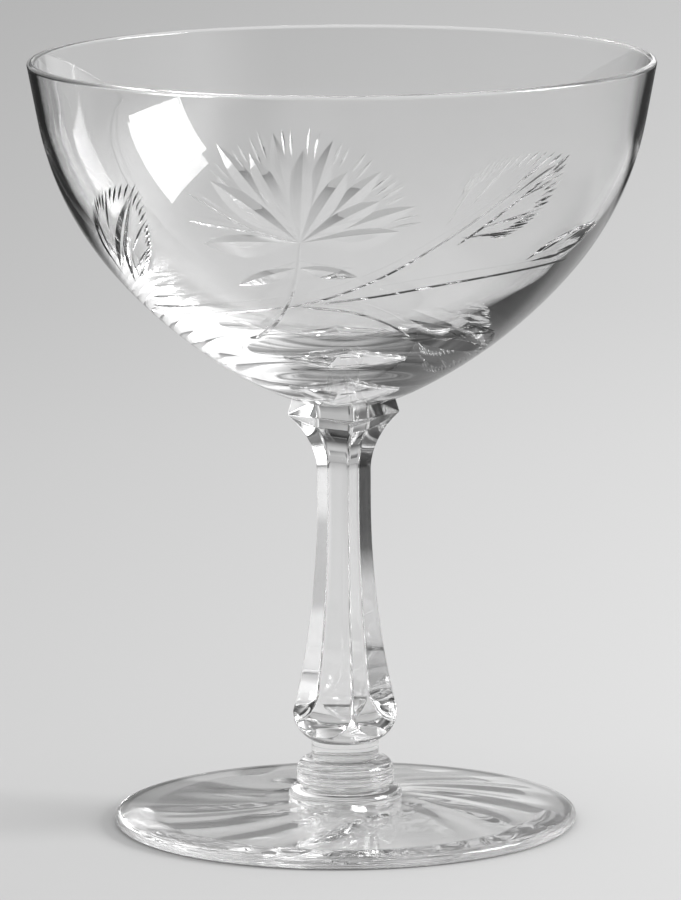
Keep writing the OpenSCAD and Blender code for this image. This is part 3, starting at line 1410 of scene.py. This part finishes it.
    def flower(self) -> Iterator[Cut]:
        """Makes the flower.

        Yields:
            Back petals with ticks between them, front petals, sepals and two feelers.
        """
        for direction, length in self.back_petals:
            start, end = self.ray(direction, self.back_from), self.ray(direction, length)
            yield self.lens(CutKind.PETAL, start, end, self.back_width, self.petal_widest)
            for turn in self.tick_turns:
                stray = self.tick_stray
                near, far = (d + self.random.uniform(-stray, stray) for d in self.tick_span)
                way = direction + turn
                yield self.lens(CutKind.TICK, self.ray(way, near), self.ray(way, far), self.tick_width)
        for number, (direction, length) in enumerate(self.petals):
            lean = 0.0
            if number in self.level_petals:
                lean = math.copysign(self.level_lean, math.cos(math.radians(direction)))
            end = self.ray(direction, length)
            yield self.lens(CutKind.PETAL, (0.0, 0.0), end, self.petal_width, self.petal_widest, lean)
        for tip in self.sepals:
            yield self.lens(CutKind.PETAL, self.sepal_base, tip, self.sepal_width)
        fork = self.ray(*self.antenna_fork)
        for direction, length in self.antenna:
            yield self.line([(0.0, 0.0), fork, self.ray(direction, length)], self.line_width)

    def branching(self) -> Iterator[Cut]:
        """Makes what the flower and the leaves hang on.

        Yields:
            The flower's stem and the branches.
        """
        yield self.line(self.stem, self.stem_width)
        for places in self.branches:
            yield self.line(places, self.line_width)

    def feathered(self, leaf: Leaf) -> Iterator[Cut]:
        """Makes the ticks, veins and blades of a leaf.

        Args:
            leaf: The leaf.

        Yields:
            Its cuts.
        """
        base, tip = np.asarray(leaf.base), np.asarray(leaf.tip)
        for margin in (np.asarray(leaf.over), np.asarray(leaf.under)):
            for number, share in enumerate(np.linspace(leaf.from_share, 1.0, leaf.ticks)):
                spot = (1 - share) ** 2 * base + 2 * share * (1 - share) * margin + share**2 * tip
                reach = leaf.tick * self.random.uniform(*self.tick_vary)
                if number % leaf.vein_every == leaf.vein_every // 2:
                    reach *= leaf.vein
                here, back = self.at([spot, base])
                away = np.linalg.norm(here - back) * float(self.wall.scale(here[1]))
                start = spot + (base - spot) * min(self.tick_most, reach / away)
                yield self.lens(CutKind.TICK, tuple(start), tuple(spot), self.tick_width)
        for shift in leaf.blades:
            side = shift * np.array([(tip - base)[1], -(tip - base)[0]])
            start = base + leaf.blade_from * (tip - base) + side
            end = base + leaf.blade_to * (tip - base)
            yield self.lens(leaf.blade_kind, tuple(start), tuple(end), leaf.blade_width)

    def dig(self, spots: np.ndarray) -> tuple[np.ndarray, np.ndarray]:
        """Works out how deep the whole spray goes at points of the flat wall.

        Args:
            spots: The points.

        Returns:
            The depth of the deepest cut at each point, and a number for that cut's side, or -1.
        """
        depth = np.zeros(len(spots))
        owner = np.full(len(spots), -1)
        scale = self.wall.scale(spots[:, 1])
        for number, cut in enumerate(self.cuts):
            reach = max(cut.left.max(), cut.right.max()) / float(self.wall.scale(cut.path[:, 1].min()))
            low, high = cut.path.min(axis=0) - reach, cut.path.max(axis=0) + reach
            near = np.flatnonzero(((spots > low) & (spots < high)).all(axis=1))
            if len(near) == 0:
                continue
            deep, on_left = cut.dig(spots[near], scale[near])
            more = deep > depth[near] + TINY
            depth[near[more]] = deep[more]
            owner[near[more]] = 2 * number + on_left[more]
        return depth, owner


def smooth_curve(where: np.ndarray, values: np.ndarray, asked: np.ndarray) -> np.ndarray:
    """Passes a smooth curve through values.

    Args:
        where: Places of the values, rising.
        values: The values.
        asked: Places at which the curve is wanted.

    Returns:
        The curve's values there.
    """
    slope = np.gradient(values, where)
    piece = np.clip(np.searchsorted(where, asked, side="right") - 1, 0, len(where) - 2)
    span = where[piece + 1] - where[piece]
    t = (asked - where[piece]) / span
    start, end = values[piece], values[piece + 1]
    bend_in, bend_out = slope[piece] * span, slope[piece + 1] * span
    rise = (3 - 2 * t) * t * t
    return start + (end - start) * rise + bend_in * t * (1 - t) ** 2 - bend_out * t * t * (1 - t)


@dataclass
class BlownBowl:
    """Builds the bowl's mesh: a turned wall, with the cut spray let into its front."""

    bowl: Bowl
    stem: Stem
    rings_in_joint: int = 5
    patch_turn: Span = (-88.0, 70.0)
    patch_run: Span = (20.0, 77.0)
    near: float = 0.3
    clear_share: float = 1.4
    clear_steps: int = 6
    rim_steps: int = 12
    ridge_rounds: int = 2
    ridge_in: float = 0.03
    ridge_halvings: int = 14
    same_spot: float = 1e-6
    at_once: int = 200

    def build(self, glass: Glassware) -> bpy.types.Object:
        """Builds the bowl.

        Args:
            glass: The finishes.

        Returns:
            The finished bowl.
        """
        bowl = self.bowl
        outside, inside = bowl.outside(), bowl.inside()
        angles = np.arange(bowl.columns) * 2 * math.pi / bowl.columns - math.pi
        joint = self.stem.outline(angles + math.pi / 4)
        joint_run = bowl.base * np.arcsin(joint / bowl.base)
        clear = self.clear_share * float(joint_run.max())
        shares = np.arange(1, self.rings_in_joint + 1) / self.rings_in_joint
        inner_rows = joint_run * shares[:, None]
        blend = np.linspace(0, 1, self.clear_steps + 1)[1:, None]
        ring_rows = joint_run + (clear - joint_run) * blend
        count = math.ceil((outside.length - clear) / bowl.row)
        plain = np.linspace(clear, outside.length, count + 1)[1:]
        out_rows = np.concatenate([inner_rows, ring_rows, np.tile(plain[:, None], (1, bowl.columns))])
        out_p, out_n = outside.at(out_rows.ravel())
        rim_rows = np.linspace(0, inside.parts[0].length, self.rim_steps + 1)[1:]
        rest = inside.length - inside.parts[0].length
        in_rows = inside.parts[0].length + np.linspace(0, rest, math.ceil(rest / bowl.row) + 1)[1:-1]
        turned = np.concatenate([rim_rows, in_rows])
        in_p, in_n = inside.at(turned)
        in_p = np.repeat(in_p[:, None], bowl.columns, axis=1).reshape(-1, 2)
        in_n = np.repeat(in_n[:, None], bowl.columns, axis=1).reshape(-1, 2)
        points, normals = np.concatenate([out_p, in_p]), np.concatenate([out_n, in_n])
        rows = len(out_rows) + len(turned)
        turn = np.tile(angles, rows)
        verts = self.spun(points, turn)
        ways = self.spun(normals, turn)
        low, high = len(verts), len(verts) + 1
        verts = np.concatenate([verts, [[0, 0, bowl.low], [0, 0, bowl.low + bowl.base_wall]]])
        ways = np.concatenate([ways, [[0, 0, -1], [0, 0, 1]]])
        index = np.arange(rows * bowl.columns).reshape(rows, bowl.columns)
        ahead = np.roll(index, -1, axis=1)
        first = len(inner_rows) + len(ring_rows)
        window = self.window(angles, plain, first)
        kept = np.ones((rows - 1, bowl.columns), bool)
        kept[window[0] : window[1], window[2] : window[3]] = False
        quads = np.stack([index[:-1], ahead[:-1], ahead[1:], index[1:]], axis=-1)
        fused = np.zeros((rows - 1, bowl.columns), np.int32)
        fused[: self.rings_in_joint - 1] = 1
        caps = [(low, b, a) for a, b in zip(index[0], ahead[0])]
        caps += [(high, a, b) for a, b in zip(index[-1], ahead[-1])]
        patch = self.cut_patch(outside, angles, out_rows[:, 0], window, index, len(verts))
        faces = quads[kept].tolist() + caps
        corner_ways = ways[np.concatenate([np.ravel(f) for f in faces])]
        marks = np.concatenate([fused[kept], np.repeat([1, 0], bowl.columns), np.zeros(len(patch.faces))])
        faces += patch.faces.tolist()
        spots, corners = np.unique(np.concatenate([np.ravel(f) for f in faces]), return_inverse=True)
        starts = np.cumsum([0] + [len(f) for f in faces])
        faces = [corners[a:b].tolist() for a, b in zip(starts, starts[1:])]
        mesh = bpy.data.meshes.new("bowl_blown")
        mesh.from_pydata((np.concatenate([verts, patch.verts])[spots] * MM).tolist(), [], faces)
        mesh.materials.append(glass.blown)
        mesh.materials.append(glass.fused)
        mesh.polygons.foreach_set("material_index", marks.astype(np.int32))
        mesh.polygons.foreach_set("use_smooth", np.ones(len(faces), bool))
        piece = new_object("bowl_blown", mesh)
        mesh.normals_split_custom_set(np.concatenate([corner_ways, patch.ways]).tolist())
        return settled(piece, "bowl")

    def window(self, angles: np.ndarray, plain: np.ndarray, first: int) -> tuple[int, int, int, int]:
        """Finds the rows and columns of the wall that the spray's patch takes up.

        Args:
            angles: Turn of each column.
            plain: Run of each level row.
            first: Number of the first level row.

        Returns:
            First and last row, and first and last column.
        """
        turns = np.searchsorted(angles, np.radians(self.patch_turn))
        runs = first + np.searchsorted(plain, self.patch_run)
        return int(runs[0]), int(runs[1]), int(turns[0]), int(turns[1])

    def cut_patch(
        self,
        outside: Profile,
        angles: np.ndarray,
        runs: np.ndarray,
        window: tuple[int, int, int, int],
        index: np.ndarray,
        used: int,
    ) -> "Patch":
        """Cuts the spray into its patch of the wall.

        Args:
            outside: The wall's outer profile.
            angles: Turn of each column.
            runs: Run of each row.
            window: First and last row, and first and last column.
            index: Number of each vertex of the turned wall.
            used: How many vertices there are already.

        Returns:
            The patch.
        """
        wall = FlatWall(outside)
        spray = Spray(wall)
        row0, row1, col0, col1 = window
        numbers = index[row0 : row1 + 1, col0 : col1 + 1]
        grid = np.stack(
            np.meshgrid(angles[col0 : col1 + 1], wall.up(runs[row0 : row1 + 1])), axis=-1
        )
        ring = np.concatenate(
            [numbers[0, :-1], numbers[:-1, -1], numbers[-1, :0:-1], numbers[:0:-1, 0]]
        )
        ring_spots = np.concatenate([grid[0, :-1], grid[:-1, -1], grid[-1, :0:-1], grid[:0:-1, 0]])
        lines = [side for cut in spray.cuts for side in cut.sides(wall)]
        starts = np.concatenate([side[:-1] for side in lines])
        ends = np.concatenate([side[1:] for side in lines])
        inner = grid[1:-1, 1:-1].reshape(-1, 2)
        inner = inner[self.clear_of(inner, starts, ends) * wall.scale(inner[:, 1]) > self.near]
        spots = [ring_spots, inner]
        edges = [(i, (i + 1) % len(ring)) for i in range(len(ring))]
        count = len(ring) + len(inner)
        for side in lines:
            spots.append(side)
            edges += [(count + i, count + i + 1) for i in range(len(side) - 1)]
            count += len(side)
        points = np.concatenate(spots)
        for _ in range(self.ridge_rounds):
            found = self.triangles(points, edges)
            points = np.concatenate([points, self.ridges(spray, found)])
        places, faces, origin = self.triangles(points, edges)
        return Patch.dug(spray, outside, places, faces, origin, ring, used)

    def clear_of(self, spots: np.ndarray, starts: np.ndarray, ends: np.ndarray) -> np.ndarray:
        """Finds how far points lie from the nearest of many straight edges.

        Args:
            spots: The points.
            starts: Where each edge starts.
            ends: Where each edge ends.

        Returns:
            The distance of each point.
        """
        way = ends - starts
        size = np.maximum((way * way).sum(-1), NO_AREA)
        found = []
        for some in np.array_split(spots, max(1, len(spots) // self.at_once)):
            gap = some[:, None] - starts
            share = np.clip((gap * way).sum(-1) / size, 0.0, 1.0)
            found.append(np.linalg.norm(gap - share[..., None] * way, axis=-1).min(axis=1))
        return np.concatenate(found)

    def triangles(self, points: np.ndarray, edges: list) -> tuple[np.ndarray, np.ndarray, list]:
        """Fills the patch with triangles that keep every edge.

        Args:
            points: The points on the flat wall.
            edges: Pairs of points that stay joined.

        Returns:
            The points, the triangles, and the old numbers of each point.
        """
        flat = [Vector(p) for p in points]
        places, _, faces, origin, _, _ = delaunay_2d_cdt(flat, edges, [], 0, self.same_spot, True)
        return np.array([tuple(p) for p in places]), np.array(faces), origin

    def ridges(self, spray: Spray, found: tuple[np.ndarray, np.ndarray, list]) -> np.ndarray:
        """Finds where one cut runs into another, along the edges of triangles that cross there.

        Args:
            spray: The spray.
            found: The triangles.

        Returns:
            Points on the ridges between cuts.
        """
        places, faces, _ = found
        pairs = np.concatenate([faces[:, [0, 1]], faces[:, [1, 2]], faces[:, [2, 0]]])
        pairs = np.unique(np.sort(pairs, axis=1), axis=0)
        start, end = places[pairs[:, 0]], places[pairs[:, 1]]
        inward = self.ridge_in * (end - start)
        low, high = spray.dig(start + inward)[1], spray.dig(end - inward)[1]
        cross = (low >= 0) & (high >= 0) & (low // 2 != high // 2)
        start, end, low = start[cross], end[cross], low[cross]
        a, b = np.zeros(len(start)), np.ones(len(start))
        for _ in range(self.ridge_halvings):
            mid = (a + b) / 2
            same = spray.dig(start + mid[:, None] * (end - start))[1] // 2 == low // 2
            a, b = np.where(same, mid, a), np.where(same, b, mid)
        return start + a[:, None] * (end - start)

    @staticmethod
    def spun(flat: np.ndarray, turn: np.ndarray) -> np.ndarray:
        """Turns points or normals about the axis, from the front round by the right.

        Args:
            flat: Radius and height.
            turn: Angles from the front, in radians.

        Returns:
            The points in space.
        """
        return np.stack([flat[:, 0] * np.sin(turn), -flat[:, 0] * np.cos(turn), flat[:, 1]], axis=-1)


@dataclass(frozen=True)
class Patch:
    """The piece of wall that carries the spray: new vertices, triangles and a normal for each corner."""

    verts: np.ndarray
    faces: np.ndarray
    ways: np.ndarray

    @classmethod
    def dug(
        cls,
        spray: Spray,
        outside: Profile,
        places: np.ndarray,
        faces: np.ndarray,
        origin: list,
        ring: np.ndarray,
        used: int,
    ) -> "Patch":
        """Digs the cuts into the flat triangles and rolls them back onto the wall.

        Args:
            spray: The spray.
            outside: The wall's outer profile.
            places: Points on the flat wall.
            faces: Triangles between them.
            origin: Old numbers of each point.
            ring: Numbers of the wall's vertices round the patch.
            used: How many vertices there are already.

        Returns:
            The patch.
        """
        flat, normal = outside.at(spray.wall.run_at(places[:, 1]))
        depth = spray.dig(places)[0]
        verts = BlownBowl.spun(flat - depth[:, None] * normal, places[:, 0])
        ways = BlownBowl.spun(normal, places[:, 0])
        owner = spray.dig(places[faces].mean(axis=1))[1]
        sides = np.cross(verts[faces[:, 1]] - verts[faces[:, 0]], verts[faces[:, 2]] - verts[faces[:, 0]])
        keys = faces * (2 * len(spray.cuts) + 1) + owner[:, None] + 1
        _, group = np.unique(keys.ravel(), return_inverse=True)
        summed = np.zeros((group.max() + 1, 3))
        np.add.at(summed, group, np.repeat(sides, 3, axis=0))
        corner = summed[group]
        corner /= np.maximum(np.linalg.norm(corner, axis=1, keepdims=True), NO_AREA)
        plain = np.repeat(owner < 0, 3)
        corner[plain] = ways[faces.ravel()[plain]]
        number = np.full(len(places), -1)
        for i, old in enumerate(origin):
            known = [o for o in old if o < len(ring)]
            if known:
                number[i] = ring[known[0]]
        fresh = number < 0
        number[fresh] = used + np.arange(fresh.sum())
        return cls(verts[fresh], number[faces], corner)


# Painted reflection: the left half of the table, dark only as mirrored rays see it.
PAINTED_REFLECTION_DIM_LEFT: Stops = ((-180.0, "#101010"), (-131.0, "#4A4A4A"), (-103.0, "#C4C4C4"), (-85.0, "#F4F4F4"))


@dataclass
class Studio:
    """A pale table, one large window at the right, the room round them and the camera.

    Colours run along ramps, and many of them paint light and shade. Those of the table go by millimetres
    across it or back from the glass: painted light, brightest a little right of the glass, and painted
    shade, darker towards the back. Those of the room go by the sideways or upward part of a direction.
    What the glass mirrors has ramps of its own, which are painted reflections: beside, between and behind
    the glass on the table, and the skirting and the room above it.
    The focal length, the pan and the frame's height are in pixels of the photograph.
    """

    away: float = 1178.96
    eye: float = 255.9
    turn: float = -8.5
    pitch: float = 9.49
    roll: float = 0.28
    focal: float = 7688.0
    pan: float = 3.2
    frame_height: float = 900.0
    sensor: float = 36.0
    clip: Span = (50.0, 50000.0)
    bounces: int = 96
    clear_bounces: int = 64
    table: float = 4000.0
    table_drop: float = 0.05
    paper_rough: float = 0.9
    paper_gloss: float = 0.1
    # Painted shade: the table's colour grows darker going back from the glass.
    painted_shade_back: Stops = (
        (-100.0, "#CACACA"), (60.0, "#CDCDCD"), (188.0, "#CBCBCB"), (352.0, "#C9C9C9"),
        (560.0, "#C4C4C4"), (1200.0, "#C3C3C3"), (3000.0, "#B6B6B6"),
    )
    # Painted light across the table: brightest a little right of the glass and darker far to either side,
    # scaled by the gain below.
    painted_light_across: Stops = (
        (-900.0, "#C0C0C0"), (-350.0, "#BCBCBC"), (-220.0, "#CECECE"), (110.0, "#ECECEC"), (250.0, "#DCDCDC"),
        (400.0, "#C0C0C0"), (600.0, "#A0A0A0"), (900.0, "#888888"), (1500.0, "#707070"),
    )
    painted_light_gain: float = 1.3
    # Painted reflections of the table, seen only by mirrored rays: zones beside, between and behind the
    # glass, and a gain that dims them on the outside of the glass and brightens them inside it.
    beside: Stops = (
        *PAINTED_REFLECTION_DIM_LEFT, (66.0, "#FFFFFF"), (76.0, "#D0D0D0"), (100.0, "#C7C7C7"), (195.0, "#CBCBCB"),
        (240.0, "#F4F4F4"), (300.0, "#FFFFFF"),
    )
    beside_from: Span = (-90.0, -50.0)
    between: Stops = (*PAINTED_REFLECTION_DIM_LEFT, (60.0, "#FFFFFF"))
    between_from: Span = (90.0, 130.0)
    behind: Stops = (
        (-145.0, "#303030"), (-115.0, "#DCDCDC"), (120.0, "#E4E4E4"), (150.0, "#303030"),
        (300.0, "#303030"), (420.0, "#FFFFFF"),
    )
    behind_from: Span = (330.0, 420.0)
    mirror_gain: Span = (0.8, 1.6)
    dome: Stops = ((0.06, "#B8B8B8"), (0.15, "#CCCCCC"), (0.3, "#D0D0D0"), (1.0, "#FAFAFA"))
    # Painted shade: the dark overhead that only rays through the glass see, while the pale dome lights the
    # rest.
    ceiling: Stops = (
        (0.06, "#B8B8B8"), (0.15, "#CCCCCC"), (0.24, "#C4C4C4"), (0.4, "#505050"), (1.0, "#303030"),
    )
    far_wall: Stops = (
        (-0.14, "#C4C4C4"), (-0.08, "#686868"), (0.14, "#686868"), (0.17, "#FFFFFF"),
        (0.27, "#FFFFFF"), (0.30, "#C4C4C4"),
    )
    far_rise: Stops = ((0.08, "#000000"), (0.1, "#FFFFFF"), (0.16, "#FFFFFF"), (0.19, "#000000"))
    # Painted reflections of the room and its skirting, seen only by rays both mirrored and passed through the
    # glass, and scaled by height.
    room: Stops = (
        (-1.0, "#101010"), (-0.8, "#141414"), (-0.6, "#343434"), (-0.34, "#4E4E4E"), (-0.17, "#565656"),
        (0.0, "#727272"), (0.24, "#747474"), (0.45, "#868686"), (0.6, "#A4A4A4"), (0.72, "#E4E4E4"),
        (0.8, "#FFFFFF"),
    )
    skirting: Stops = (
        (-1.0, "#101010"), (-0.8, "#141414"), (-0.6, "#3C3C3C"), (-0.34, "#303030"), (0.3, "#303030"),
        (0.45, "#808080"), (0.6, "#D0D0D0"), (0.72, "#FFFFFF"),
    )
    skirting_top: Span = (0.28, 0.36)
    painted_reflection_by_height: Stops = ((0.15, "#808080"), (0.36, "#BCBCBC"), (0.5, "#BCBCBC"), (0.7, "#808080"))
    painted_reflection_height_gain: float = 5.8
    window_way: Span = (104.0, 26.5)
    window_far: float = 1500.0
    window_size: Span = (750.0, 560.0)
    window_aim: float = 60.0
    window_glow: float = 15.0

    def build(self) -> None:
        """Sets up the whole studio."""
        scene = bpy.context.scene
        scene.view_settings.view_transform = "Standard"
        scene.cycles.max_bounces = self.bounces
        scene.cycles.transmission_bounces = self.bounces
        scene.cycles.glossy_bounces = self.bounces
        scene.cycles.transparent_max_bounces = self.clear_bounces
        scene.cycles.caustics_refractive = False
        scene.cycles.caustics_reflective = False
        self.camera()
        self.floor()
        self.world()
        self.window()

    def camera(self) -> None:
        """Places the camera at the photograph's viewing angle."""
        turn, pitch, roll = (math.radians(a) for a in (self.turn, self.pitch, self.roll))
        right = Vector((math.cos(turn), math.sin(turn), 0.0))
        level = Vector((-math.sin(turn), math.cos(turn), 0.0))
        ahead = level * math.cos(pitch) + Vector((0.0, 0.0, -math.sin(pitch)))
        above = right.cross(ahead)
        side = right * math.cos(roll) - above * math.sin(roll)
        ahead = (ahead - side * (self.pan / self.focal)).normalized()
        side = (side - ahead * side.dot(ahead)).normalized()
        above = side.cross(ahead)
        data = bpy.data.cameras.new("camera")
        data.sensor_fit = "AUTO"
        data.sensor_width = self.sensor
        data.lens = self.focal / self.frame_height * self.sensor
        data.clip_start, data.clip_end = (c * MM for c in self.clip)
        camera = new_object("camera", data)
        place = level * -self.away + Vector((0.0, 0.0, self.eye))
        axes = Matrix((side, above, -ahead)).transposed().to_4x4()
        camera.matrix_world = Matrix.Translation(place * MM) @ axes
        bpy.context.scene.camera = camera

    def floor(self) -> None:
        """Lays the pale matt table, with painted light across it, painted shade going back, and painted
        reflections of it in zones, dim at the left, that only the glass mirrors.
        """
        half = self.table * MM
        z = -self.table_drop * MM
        mesh = bpy.data.meshes.new("table")
        corners = [(-half, -half, z), (half, -half, z), (half, half, z), (-half, half, z)]
        mesh.from_pydata(corners, [], [(0, 1, 2, 3)])
        made = bpy.data.materials.new("matt_background_paper")
        made.use_nodes = True
        tree = made.node_tree
        node = partial(add_node, tree)
        place = node("ShaderNodeTexCoord")["Object"]
        square = {"Vector": place, "Rotation": (0.0, 0.0, -math.radians(self.turn))}
        parts = node(SPLIT, (node("ShaderNodeMapping", square)[0],))
        across, back = parts["X"], parts["Y"]
        # Painted light and shade on the table: the ramp across times the ramp going back.
        bright = self.ramp(tree, across, self.painted_light_across, MM)
        lit = node(MATH, (bright, self.painted_light_gain), operation="MULTIPLY")[0]
        shade = node(VECTOR, {0: self.ramp(tree, back, self.painted_shade_back, MM), "Scale": lit}, operation="SCALE")[0]
        side = self.ramp(tree, across, self.between, MM)
        zones = (
            (self.beside, self.beside_from),
            (self.between, self.between_from),
            (self.behind, self.behind_from),
        )
        for zone, (start, end) in zones:
            far = node(RANGE, {"Value": back, "From Min": start * MM, "From Max": end * MM})[0]
            shares = {0: far, MIX_A: side, MIX_B: self.ramp(tree, across, zone, MM)}
            side = node(MIX, shares, data_type="RGBA")[MIX_OUT]
        zoned = node(VECTOR, (shade, side), operation="MULTIPLY")[0]
        # Mirrored rays see the zoned painted reflection; all other rays see the painted light and shade.
        path = node("ShaderNodeLightPath")
        low, high = self.mirror_gain
        gain = node(RANGE, {"Value": path["Transmission Depth"], "To Min": low, "To Max": high})[0]
        mirrored = node(MATH, (path["Glossy Depth"], HALF), operation="GREATER_THAN")[0]
        painted_table_reflection = node(VECTOR, {0: zoned, "Scale": gain}, operation="SCALE")[0]
        cover = node(MIX, {0: mirrored, MIX_A: shade, MIX_B: painted_table_reflection}, data_type="RGBA")[MIX_OUT]
        sheet = tree.nodes["Principled BSDF"]
        tree.links.new(cover, sheet.inputs["Base Color"])
        sheet.inputs["Roughness"].default_value = self.paper_rough
        sheet.inputs["Specular IOR Level"].default_value = self.paper_gloss
        mesh.materials.append(made)
        new_object("table", mesh)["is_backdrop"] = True

    def world(self) -> None:
        """Paints the room: a pale dome, a painted dark overhead that only rays through the glass see, and
        painted reflections of walls that only the glass mirrors.
        """
        world = bpy.data.worlds.new("room")
        world.use_nodes = True
        bpy.context.scene.world = world
        tree = world.node_tree
        node = partial(add_node, tree)
        parts = node(SPLIT, (node("ShaderNodeTexCoord")["Generated"],))
        path = node("ShaderNodeLightPath")
        across, rise = parts["X"], parts["Z"]
        ahead = node(MATH, (parts["Y"], 0.0), operation="GREATER_THAN")[0]
        facing = node(MATH, (self.ramp(tree, rise, self.far_rise), ahead), operation="MULTIPLY")[0]
        dome, ceiling = self.ramp(tree, rise, self.dome), self.ramp(tree, rise, self.ceiling)
        # Rays through the glass see the painted dark overhead.
        shares = {0: path["Is Transmission Ray"], MIX_A: dome, MIX_B: ceiling}
        upper = node(MIX, shares, data_type="RGBA")[MIX_OUT]
        shares = {0: facing, MIX_A: upper, MIX_B: self.ramp(tree, across, self.far_wall)}
        plain = node(MIX, shares, data_type="RGBA")[MIX_OUT]
        low, high = self.skirting_top
        above = node(RANGE, {"Value": rise, "From Min": low, "From Max": high})[0]
        skirting, room = self.ramp(tree, across, self.skirting), self.ramp(tree, across, self.room)
        walls = node(MIX, {0: above, MIX_A: skirting, MIX_B: room}, data_type="RGBA")[MIX_OUT]
        painted_reflection_by_height = self.ramp(tree, rise, self.painted_reflection_by_height)
        painted_reflection_lift = node(MATH, (painted_reflection_by_height, self.painted_reflection_height_gain), operation="MULTIPLY")[0]
        lifted = node(VECTOR, {0: walls, "Scale": painted_reflection_lift}, operation="SCALE")[0]
        # Rays both mirrored and passed through the glass see the painted wall reflections.
        inside = node(MATH, (path["Glossy Depth"], path["Transmission Depth"]), operation="MINIMUM")[0]
        mirrored = node(MATH, (inside, HALF), operation="GREATER_THAN")[0]
        seen = node(MIX, {0: mirrored, MIX_A: plain, MIX_B: lifted}, data_type="RGBA")[MIX_OUT]
        tree.links.new(seen, tree.nodes["Background"].inputs["Color"])

    @staticmethod
    def ramp(
        tree: bpy.types.NodeTree, value: bpy.types.NodeSocket, stops: Stops, unit: float = 1.0
    ) -> bpy.types.NodeSocket:
        """Adds a colour that changes with a value.

        Args:
            tree: The tree that gets the nodes.
            value: The value.
            stops: Value and colour of each stop, from the lowest to the highest.
            unit: What one stands for in the stops' values.

        Returns:
            The colour.
        """
        low, high = stops[0][0], stops[-1][0]
        share = add_node(tree, RANGE, {"Value": value, "From Min": low * unit, "From Max": high * unit})[0]
        colours = add_node(tree, "ShaderNodeValToRGB", (share,))[0]
        elements = colours.node.color_ramp.elements
        while len(elements) < len(stops):
            elements.new(1.0)
        for element, (place, colour) in zip(elements, stops):
            element.position = (place - low) / (high - low)
            element.color = linear(colour)
        return colours

    def window(self) -> None:
        """Hangs the large soft window, whose way is given round from straight behind by the right, and up."""
        round_by, up = (math.radians(a) for a in self.window_way)
        out = Vector((math.sin(round_by) * math.cos(up), math.cos(round_by) * math.cos(up), math.sin(up)))
        data = bpy.data.lights.new("window_right", "AREA")
        data.shape = "RECTANGLE"
        wide, high = (size * MM for size in self.window_size)
        data.size, data.size_y = wide, high
        data.energy = self.window_glow * math.pi * wide * high
        lamp = new_object("window_right", data)
        lamp.location = out * self.window_far * MM + Vector((0.0, 0.0, self.window_aim * MM))
        lamp.rotation_euler = out.to_track_quat("Z", "Y").to_euler()


def main() -> None:
    """Builds the glass from the foot up, then the studio."""
    blown = Crystal("crystal_blown", Wave.BLOWN, wave_size=14.0, wave_depth=0.004)
    pressed = Crystal("crystal_pressed", Wave.PRESSED, wave_size=5.0, wave_depth=0.006, passed="#A0A0A0")
    tooled = Crystal("crystal_tooled", Wave.TOOLED, wave_size=4.0, wave_depth=0.0012, passed="#A0A0A0")
    spun = Crystal(
        "crystal_spun", Wave.SPUN, wave_size=9.0, wave_depth=0.002, passed="#FAFAFA", edge_from=34.2
    )
    finishes = (FusedJoint(), blown, pressed, tooled, spun)
    glass = Glassware(*(finish.material() for finish in finishes))
    bowl = Bowl()
    stem = Stem(bowl)
    lathe = lathe_tree()
    Foot().build(lathe, glass)
    Knop().build(lathe, glass)
    stem.build(around_tree(), glass)
    BlownBowl(bowl, stem).build(glass)
    Studio().build()
    boxes = {"cad": CAD_BOX, "visual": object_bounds()}
    {k: [list(corner) for corner in box] for k, box in boxes.items()}


if __name__ == "__main__":
    main()
